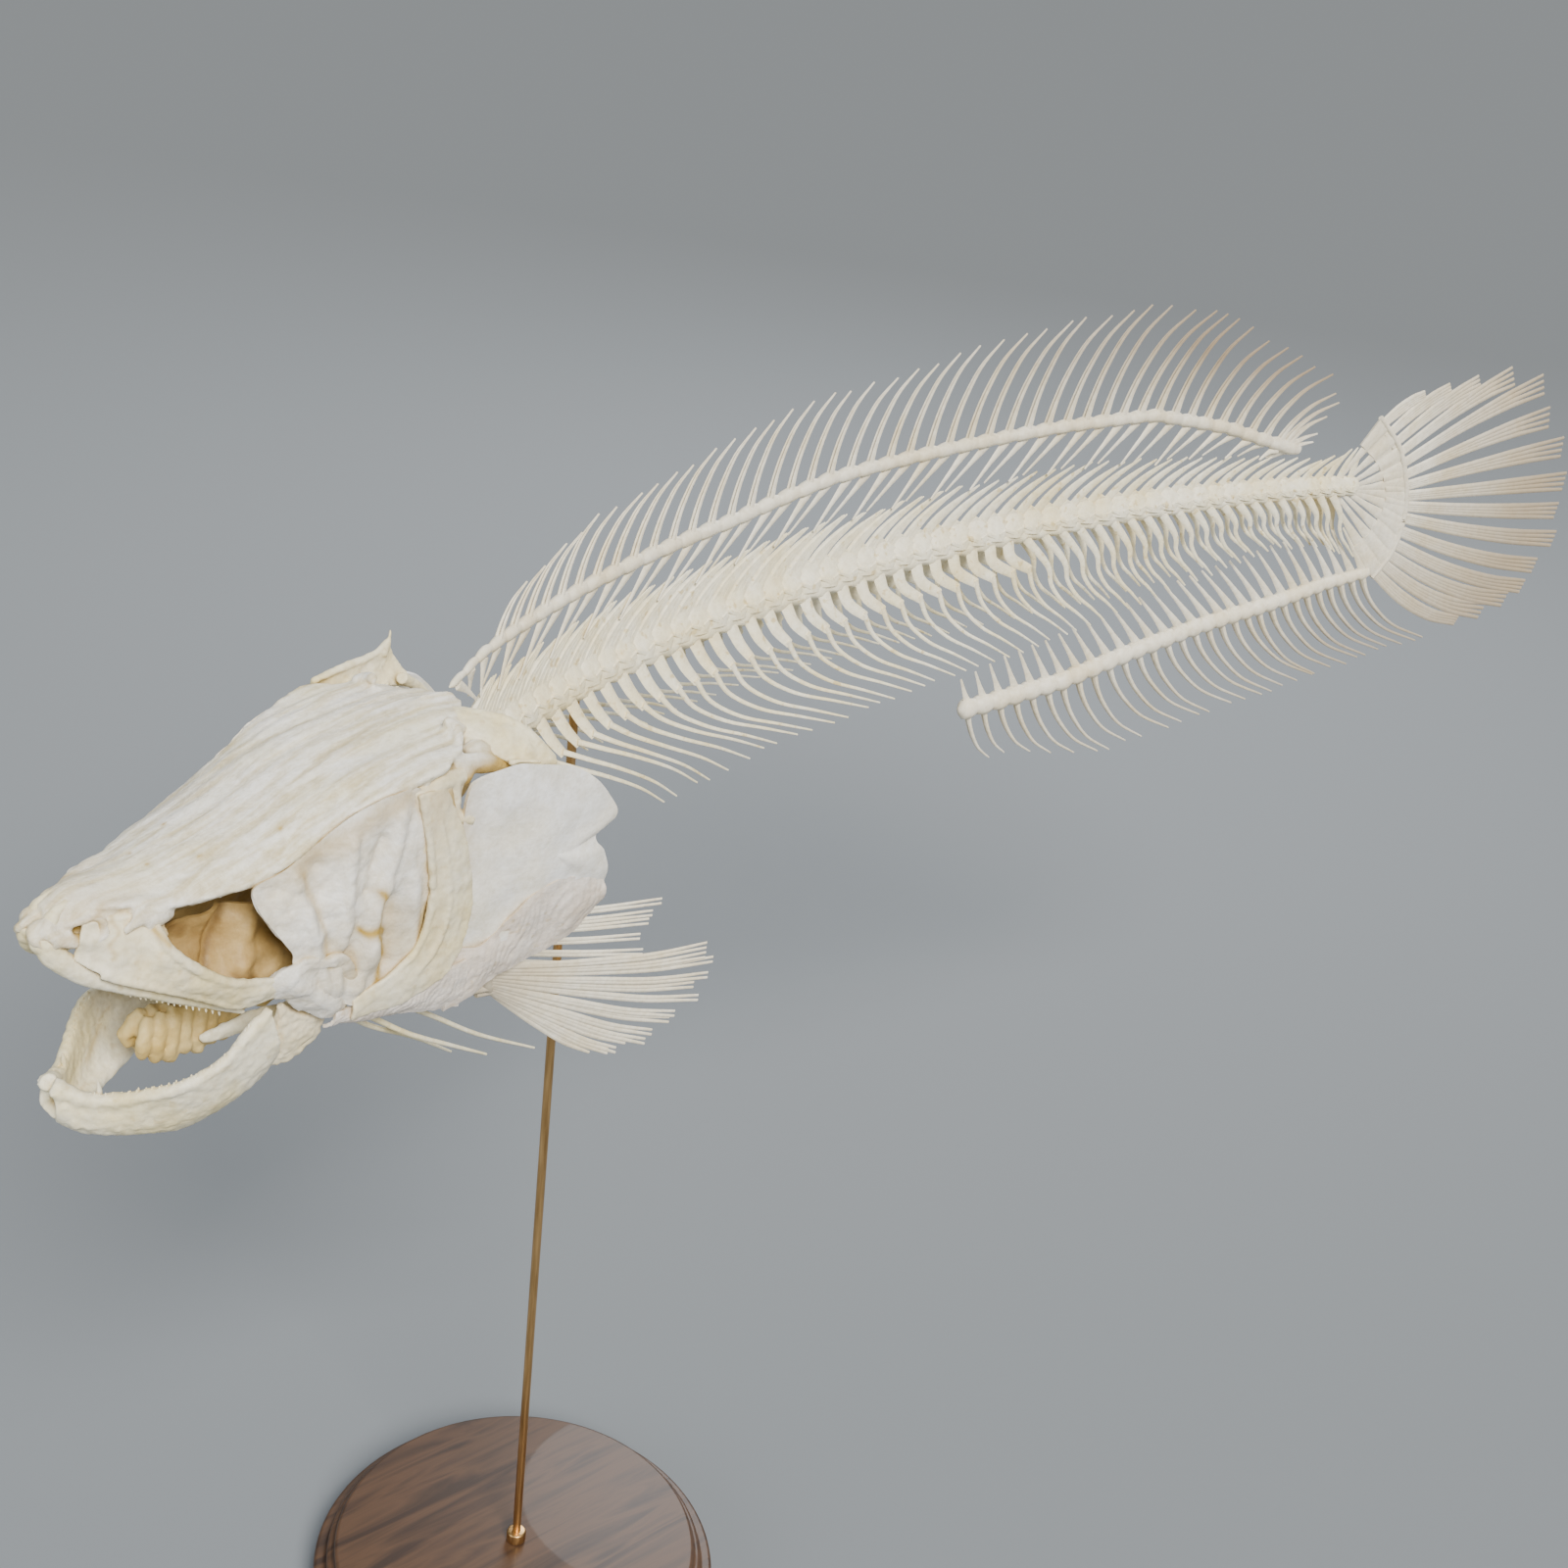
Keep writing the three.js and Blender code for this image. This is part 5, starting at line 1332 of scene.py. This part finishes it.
def neural_arch(index):
    """Two walls that close over the nerve cord, and one long blade."""
    s = (index + 0.5) / VERTEBRAE
    radius = graph(VERTEBRA_RADII, s)
    height, lean = graph(ARCH_HEIGHT, s), graph(ARCH_LEAN, s) / COLUMN_LENGTH
    height = height * (1 + 0.05 * wobble(index, 1))
    top = radius * ARCH_TOP
    half = 0.52 * COLUMN_LENGTH / VERTEBRAE  # about half a vertebra's length
    back = body_back(s)
    parts = []
    for side in SIDES.values():
        wall = body_line([[s - 0.001, side * radius * 0.9, radius * 0.2],
                          [s, side * radius * 0.76, radius * 0.95],
                          [s + lean * 0.05, side * 1.1, top * 0.85],
                          [s + lean * 0.12, side * 0.3, top + 1]])
        parts.append(rod("wall", wall, [half * 0.95, half * 1.16, half * 1.16, half * 0.95],
                         side=back, flat=0.18, sides=12, steps=10))
        for facet, foot, tip, radii in FACETS:
            line = body_line([[s + behind, side * radius * out, radius * up]
                              for behind, out, up in (foot, tip)])
            parts.append(rod(facet, line, radii, sides=6, steps=3))
    blade = body_line([[s + lean * 0.06, 0, top - 1.5], [s + lean * 0.3, 0, top + (height - top) * 0.34],
                       [s + lean * 0.62, 0, top + (height - top) * 0.68], [s + lean * 1.02, 0, height]])
    wide = graph(BLADE_WIDTH, s)
    for strand in (-0.62, 0, 0.62) if index < RIBBED_BLADES else ():
        shift = strand * half * wide * np.array([1.0, 0.85, 0.65, 0.45])[:, None]
        parts.append(rod("strand", blade + back * shift,
                         [half * 0.42 * wide, half * 0.36 * wide, half * 0.26 * wide, 0.3],
                         side=back, flat=0.75, sides=6, steps=12))
    parts.append(rod("spine", blade, [half * 0.95 * wide, half * 0.72 * wide, half * 0.5 * wide, 0.45],
                     side=back, flat=0.2, sides=10, steps=16))
    return parts


# %% Ribs
FIRST_RIB, LAST_RIB = 4, 52
FIRST_BAR = 32  # from here on a process and its rib are one bar
RIB_SPREAD = [(0.07, 27), (0.3, 25), (0.5, 17), (0.65, 8), (0.8, 3.6), (0.9, 2.4)]
FAR_SPREAD = 0.6  # the right ribs hang closer in than the left ones
RIB_DROP = [(0.07, 40), (0.5, 42), (0.65, 38), (0.75, 31), (0.85, 22), (0.92, 24), (1, 34)]
RIB_SWEEP = [(0.07, 46), (0.3, 46), (0.5, 36), (0.7, 24), (0.9, 22), (1, 26)]
# A rib's way from its process to its tip: shares of the way back, out and down.
HANGING_RIB = [(0, 0, 0), (0.18, 0.32, 0.14), (0.45, 0.66, 0.36), (0.75, 0.9, 0.66), (1, 1, 1)]
SWEPT_RIB = [(0, 0, 0), (0.1, 0.2, 0.3), (0.33, 0.55, 0.56), (0.66, 0.85, 0.77), (1, 1, 1)]


def rib(index, side):
    s = (index + 0.25) / VERTEBRAE
    radius, spread, drop = graph(VERTEBRA_RADII, s), graph(RIB_SPREAD, s), graph(RIB_DROP, s)
    drop = drop * (1 + 0.03 * wobble(index, 2 + side))
    spread = spread * (FAR_SPREAD if side < 0 else 1)
    sweep = graph(RIB_SWEEP, s) * (1 + 0.05 * wobble(index, 4 + side)) / COLUMN_LENGTH
    process = min(12, drop * 0.3)
    swept = np.clip((s - 0.12) / 0.12, 0, 1)
    knee = np.array([s + sweep * (0.09 + 0.22 * np.clip((s - 0.3) / 0.3, 0, 1)),
                     side * (radius * 0.75 + spread * 0.25), -radius * 0.3 - process])
    tip = np.array([s + sweep, side * spread, -drop])
    back = body_back(s)
    shares = np.array(HANGING_RIB) * (1 - swept) + np.array(SWEPT_RIB) * swept
    if index < FIRST_BAR:
        stout = body_line([[s, side * radius * 0.6, -radius * 0.35],
                           [s + sweep * 0.03, side * (radius * 0.85 + spread * 0.1),
                            -radius * 0.4 - process * 0.5], knee])
        parts = [rod("process", stout, [2.9, 2.5, 1.9], side=back, flat=0.35, sides=8, steps=8)]
        start = knee - [sweep * 0.02, 0, -1.2]
        thin = body_line(start + (tip - start) * shares)
        parts.append(rod("rib", thin, [1.15, 0.9, 0.72, 0.55, 0.32], side=back, flat=0.8, sides=8,
                         steps=20))
        return parts
    thin = body_line(np.vstack([[s, side * radius * 0.5, -radius * 0.4], knee + (tip - knee) * shares]))
    return [rod("rib", thin, [2.0, 1.35, 1.0, 0.8, 0.65, 0.38], side=back, flat=0.5, sides=8, steps=20)]


# %% Three lengths of backbone
for name, first, last in (("front", 0, 18), ("middle", 18, 36), ("rear", 36, VERTEBRAE)):
    centra = joined(f"centra_{name}", [vertebra(index) for index in range(first, last)])
    uneven(centra, 2, 0.35)
    finished(centra, "bone", f"ribs_{name}_left", f"ribs_{name}_right", finish="backbone")
    arches = [part for index in range(first, last) for part in neural_arch(index)]
    finished(joined(f"neural_spines_{name}_row", arches), "bone", f"neural_spines_{name}",
             finish="backbone")
    for side_name, side in SIDES.items():
        ribs = [part for index in range(max(first, FIRST_RIB), min(last, LAST_RIB + 1))
                for part in rib(index, side)]
        finished(joined(f"ribs_{name}_{side_name}_row", ribs), "bone", f"ribs_{name}_{side_name}",
                 finish="backbone")

# %% [markdown]
# ## Fins along the back and the belly
# Each ray of these fins is a pair of thin curved halves that stands on a bead. On the other side
# of the bead a slender bone reaches in between the spines. The rays are dark towards their tips,
# where the dried skin is left.

# %% Fin shapes
# Most lists are (share of the backbone, value). base and tip are the heights of a ray's two ends,
# bearer and ahead place the foot of the bone inside, and the list of the stain attribute gives how brown
# the tips are, a real stain of dried skin.
DORSAL = {
    "name": "dorsal_fin", "rays": 48, "from": -0.006, "to": 0.895, "outward": 1, "aside": 1.6,
    "base": [(-0.01, 30.5), (0.03, 33.5), (0.16, 35.9), (0.3, 37.4), (0.4, 41.5), (0.62, 41.6),
             (0.72, 40.8), (0.76, 36.8), (0.81, 31.8), (0.85, 26.2), (0.9, 20.2)],
    "tip": [(0.06, 48.5), (0.125, 58.7), (0.2, 62), (0.324, 71), (0.457, 76), (0.55, 82), (0.645, 86),
            (0.74, 77), (0.808, 61), (0.845, 53.5), (0.872, 47), (0.882, 40), (0.889, 33), (0.895, 23)],
    "sweep": [(0.06, 0.038), (0.1, 0.046), (0.2, 0.04), (0.37, 0.036), (0.64, 0.054), (0.81, 0.062),
              (0.87, 0.072), (0.885, 0.06), (0.895, 0.03)],
    "bare_beads": 3, "late_rays": [46.4, 46.7, 46.9],
    "bead": [(-0.01, 0.5), (0.08, 0.9), (0.2, 1.05), (0.9, 1.1)],
    "stout": [(0, 0.72), (0.4, 0.8), (0.7, 1), (1, 1)],
    "bearer": [(0, 11), (0.1, 18), (0.75, 18), (0.8, 12), (0.85, 7.5), (0.9, 4.2)],
    "ahead": [(0, 0), (0.1, 0.034), (0.8, 0.034), (0.9, 0.02)],
    "stain_and_shade": [(0, 0.08), (0.5, 0.2), (0.66, 0.6), (0.78, 1), (0.9, 0.9)],
    "lengths": [("front", 0, 15), ("middle", 16, 31), ("rear", 32, 47)]}
ANAL = {
    "name": "anal_fin", "rays": 30, "from": 0.56, "to": 1.052, "outward": -1, "aside": 0,
    "base": [(0.55, -72), (0.59, -71.7), (0.66, -69.8), (0.74, -62.4), (0.82, -55.5), (0.92, -48.9),
             (1, -42), (1.06, -38.5)],
    "tip": [(0.576, -97), (0.646, -108), (0.708, -102), (0.76, -97), (0.816, -93.5), (0.858, -89.5),
            (0.952, -79), (1.026, -75), (1.052, -72)],
    "sweep": [(0.576, 0.03), (0.646, 0.072), (0.708, 0.084), (0.76, 0.098), (0.816, 0.115), (0.952, 0.13),
              (1.026, 0.142)],
    "bare_beads": 0, "late_rays": [],
    "bead": [(0.56, 1.7), (0.9, 1.55), (1.06, 1.15)], "stout": [(0.56, 1), (1.06, 1.05)],
    "bearer": [(0.56, 14), (0.62, 20), (0.8, 21), (0.95, 24), (1.06, 22)],
    "ahead": [(0.56, 0.01), (0.616, 0.018), (0.69, 0.03), (0.87, 0.055), (1.06, 0.05)],
    "stain_and_shade": [(0.5, 0.1), (0.9, 0.3), (1.05, 0.6)],
    "lengths": [("front", 0, 14), ("rear", 15, 29)]}
ROW_HEIGHT, ROW_INSIDE = 5.2, 0.6
FIRST_BEARER = 0.016  # no bearer's foot lies ahead of this place
RAY_CURVE = [(0, 0), (0.12, 0.27), (0.3, 0.52), (0.58, 0.78), (1, 1)]  # shares of the way back and out


def median_fin(fin, name, first, last):
    spacing = (fin["to"] - fin["from"]) / (fin["rays"] - 1)
    out = fin["outward"]
    parts = []
    for ray in [*range(first, last + 1), *[late for late in fin["late_rays"] if first < late < last]]:
        s = fin["from"] + ray * spacing
        base = graph(fin["base"], s)
        middle = base + out * ROW_HEIGHT * (0.5 - ROW_INSIDE)
        reach = graph(fin["sweep"], s) * (1 + 0.12 * wobble(ray, 7))
        tip_up = graph(fin["tip"], s) + 1.5 * wobble(ray, 8)
        back = body_back(s)
        up = unit(body(s, 0, 1) - body(s, 0, 0))
        bead = body_line([[place, 0, middle - base + graph(fin["base"], place) + out * lift]
                          for place, lift in ((s - spacing * 0.56, 0), (s - spacing * 0.3, 0.2),
                                              (s + spacing * 0.1, 0.5), (s + spacing * 0.56, 0))])
        size = graph(fin["bead"], s)
        front_end = 0.5 if ray == 0 else 1.9
        parts.append(rod("bead", bead, np.array([front_end, 2.5, 2.65, 1.8]) * size, side=up, flat=0.8,
                         sides=10, steps=8))
        if ray >= fin["bare_beads"]:
            for side in SIDES.values():
                line = [[s + reach * a, side * (0.75 - 0.6 * a), base + (tip_up - base) * b]
                        for a, b in RAY_CURVE]
                radii = np.array([1.5, 0.9, 0.75, 0.58, 0.33]) * graph(fin["stout"], s)
                parts.append(rod("ray", body_line(line), radii, side=back, flat=0.7, sides=6, steps=18))
        inward = base - out * graph(fin["bearer"], s)
        foot_s = max(s - graph(fin["ahead"], s), FIRST_BEARER)
        lean = fin["aside"] * (1 if ray % 2 == 0 else -1)
        line = body_line([[s, 0, middle - out * 1.5],
                          [s * 0.55 + foot_s * 0.45, lean * 0.4, (middle + inward) / 2],
                          [foot_s, lean, inward]])
        parts.append(rod("bearer", line, [2.0, 1.0, 0.45], side=back, flat=0.5, sides=6, steps=12))
    return joined(f"{fin['name']}_{name}_rays", parts)


CHUNK = 4000  # points at a time, to save memory
STAIN_REACH = 27  # the stain grows over this many millimetres of a ray


def body_heights(points):
    """Shares of the backbone's length and heights above it, for points in millimetres."""
    places = np.linspace(0, 1.35, 271)  # every 0.005, to well behind the last vertebra
    line = body(places, 0, 0)
    nearest = np.empty(len(points), int)
    for start in range(0, len(points), CHUNK):
        part = points[start:start + CHUNK]
        nearest[start:start + CHUNK] = ((part[:, None] - line[None]) ** 2).sum(-1).argmin(1)
    ups = axes_of(spine_heading(np.clip(places, 0, 1)), spine_pitch(np.clip(places, 0, 1)))[1]
    return places[nearest], ((points - line[nearest]) * ups[nearest]).sum(-1)


for fin in (DORSAL, ANAL):
    for name, first, last in fin["lengths"]:
        rays = median_fin(fin, name, first, last)

        def tip_stain(points, fin=fin):
            s, up = body_heights(points)
            base = graph(fin["base"], s)
            reach = np.clip((up - base) * fin["outward"] / STAIN_REACH, 0, 1.1)
            return graph(fin["stain_and_shade"], s) * reach

        given_stain_and_shade(rays, tip_stain)
        finished(rays, "fin_rays", f"{fin['name']}_{name}")

# %% [markdown]
# ## Tail
# Behind the last vertebra eleven slender flat bones open into a fan, and a thin plate joins their
# ends. The tail's rays stand on its edge. Each one splits into four branches that spread towards
# its tip, so that only narrow gaps stay between the rays.

# %% Tail fin
FAN_EDGE = [[1.014, 0, 31], [1.055, 0, 18], [1.08, 0, 3], [1.093, 0, -11], [1.09, 0, -28], [1.068, 0, -40]]
CAUDAL_TIPS = [[1.075, 0, 41], [1.15, 0, 46], [1.24, 0, 47.5], [1.315, 0, 27], [1.353, 0, -1],
               [1.368, 0, -25], [1.358, 0, -48], [1.305, 0, -58], [1.235, 0, -65]]
CAUDAL_RAYS, FAN_BONES = 15, 11
FAN_START = 1.003  # just behind the last vertebra
fan_edge, caudal_tips = body_line(FAN_EDGE), body_line(CAUDAL_TIPS)
fan_up, fan_left = axes_of(spine_heading(1), spine_pitch(1))[1:]
fan_root = body(FAN_START, 0, 0)


def fan_place(t, out):
    """A point of the fan at share t of its edge and a share of the way out to it."""
    inner = body(FAN_START - 0.04 * abs(2 * t - 1) ** 1.5, 0, 2.5 - 5 * t)
    return inner + (along(fan_edge, np.array(t)) - inner) * out


parts = []
for index in range(FAN_BONES):
    t = (index + 0.5) / FAN_BONES
    line = [fan_place(t, 0), fan_place(t, 0.35), fan_place(t, 0.75), fan_place(t, 1)]
    across = unit(np.cross(line[3] - line[0], fan_left))
    parts.append(rod("fan_bone", line, [0.9, 1.3, 2.9, 3.9], side=across, flat=0.22, sides=10, steps=16))
outer = np.array([fan_place(t, 1.03) for t in np.linspace(0, 1, 12)])
inner = np.array([fan_place(t, 0.62) for t in np.linspace(0, 1, 12)])
parts.append(walled(plate("fan_web", outer, inner, lambda u, v: 0.3 * np.sin(u * 60), 90, 10), 1.0))
parts.append(rod("fan_edge", outer, [1.2, 1.5, 1.5, 1.2], sides=8, steps=60))
for ray in range(CAUDAL_RAYS):
    t = (ray + 0.5) / CAUDAL_RAYS
    tip_t = ray / (CAUDAL_RAYS - 1)
    nearby = min(tip_t + 0.04, 1), max(tip_t - 0.04, 0)
    foot, inner = fan_place(t, 1), fan_place(t, 0.93)
    end = along(caudal_tips, np.array(tip_t))
    end = end + (end - foot) * 0.05 * wobble(ray, 9)
    across = unit(np.cross(end - foot, fan_left))
    above, below = along(caudal_tips, np.array(nearby))
    gap = np.linalg.norm(above - below) / 0.08 / (CAUDAL_RAYS - 1)  # to the next ray's tip
    length = np.linalg.norm(end - foot)
    bow = fan_up * (0.5 - t) * 0.13 * length
    spread = min(gap * 0.16, length * 0.045)
    for branch in (-1.5, -0.5, 0.5, 1.5):
        shift = across * branch
        line = [inner + shift * 0.7, foot + shift * 0.85, foot + (end - foot) * 0.35 + shift * 1.2 + bow,
                foot + (end - foot) * 0.7 + shift * (0.5 + spread * 0.5) + bow, end + shift * spread]
        parts.append(rod("ray", line, [1.0, 1.1, 1.2, 1.3, 0.8], side=across, flat=0.5, sides=6, steps=16))
tail = joined("tail_fin_rays", parts)


def tail_stain(points):
    reach = np.linalg.norm(points - fan_root, axis=1)
    return 0.22 * np.clip((reach - 40) / 8, 0, 1) + 0.6 * np.clip((reach - 46) / 66, 0, 1)


given_stain_and_shade(tail, tail_stain)
finished(tail, "fin_rays", "tail_fin")

# %% Removing the starting shapes, and the end
for shape in shape_library.values():
    bpy.data.objects.remove(shape)
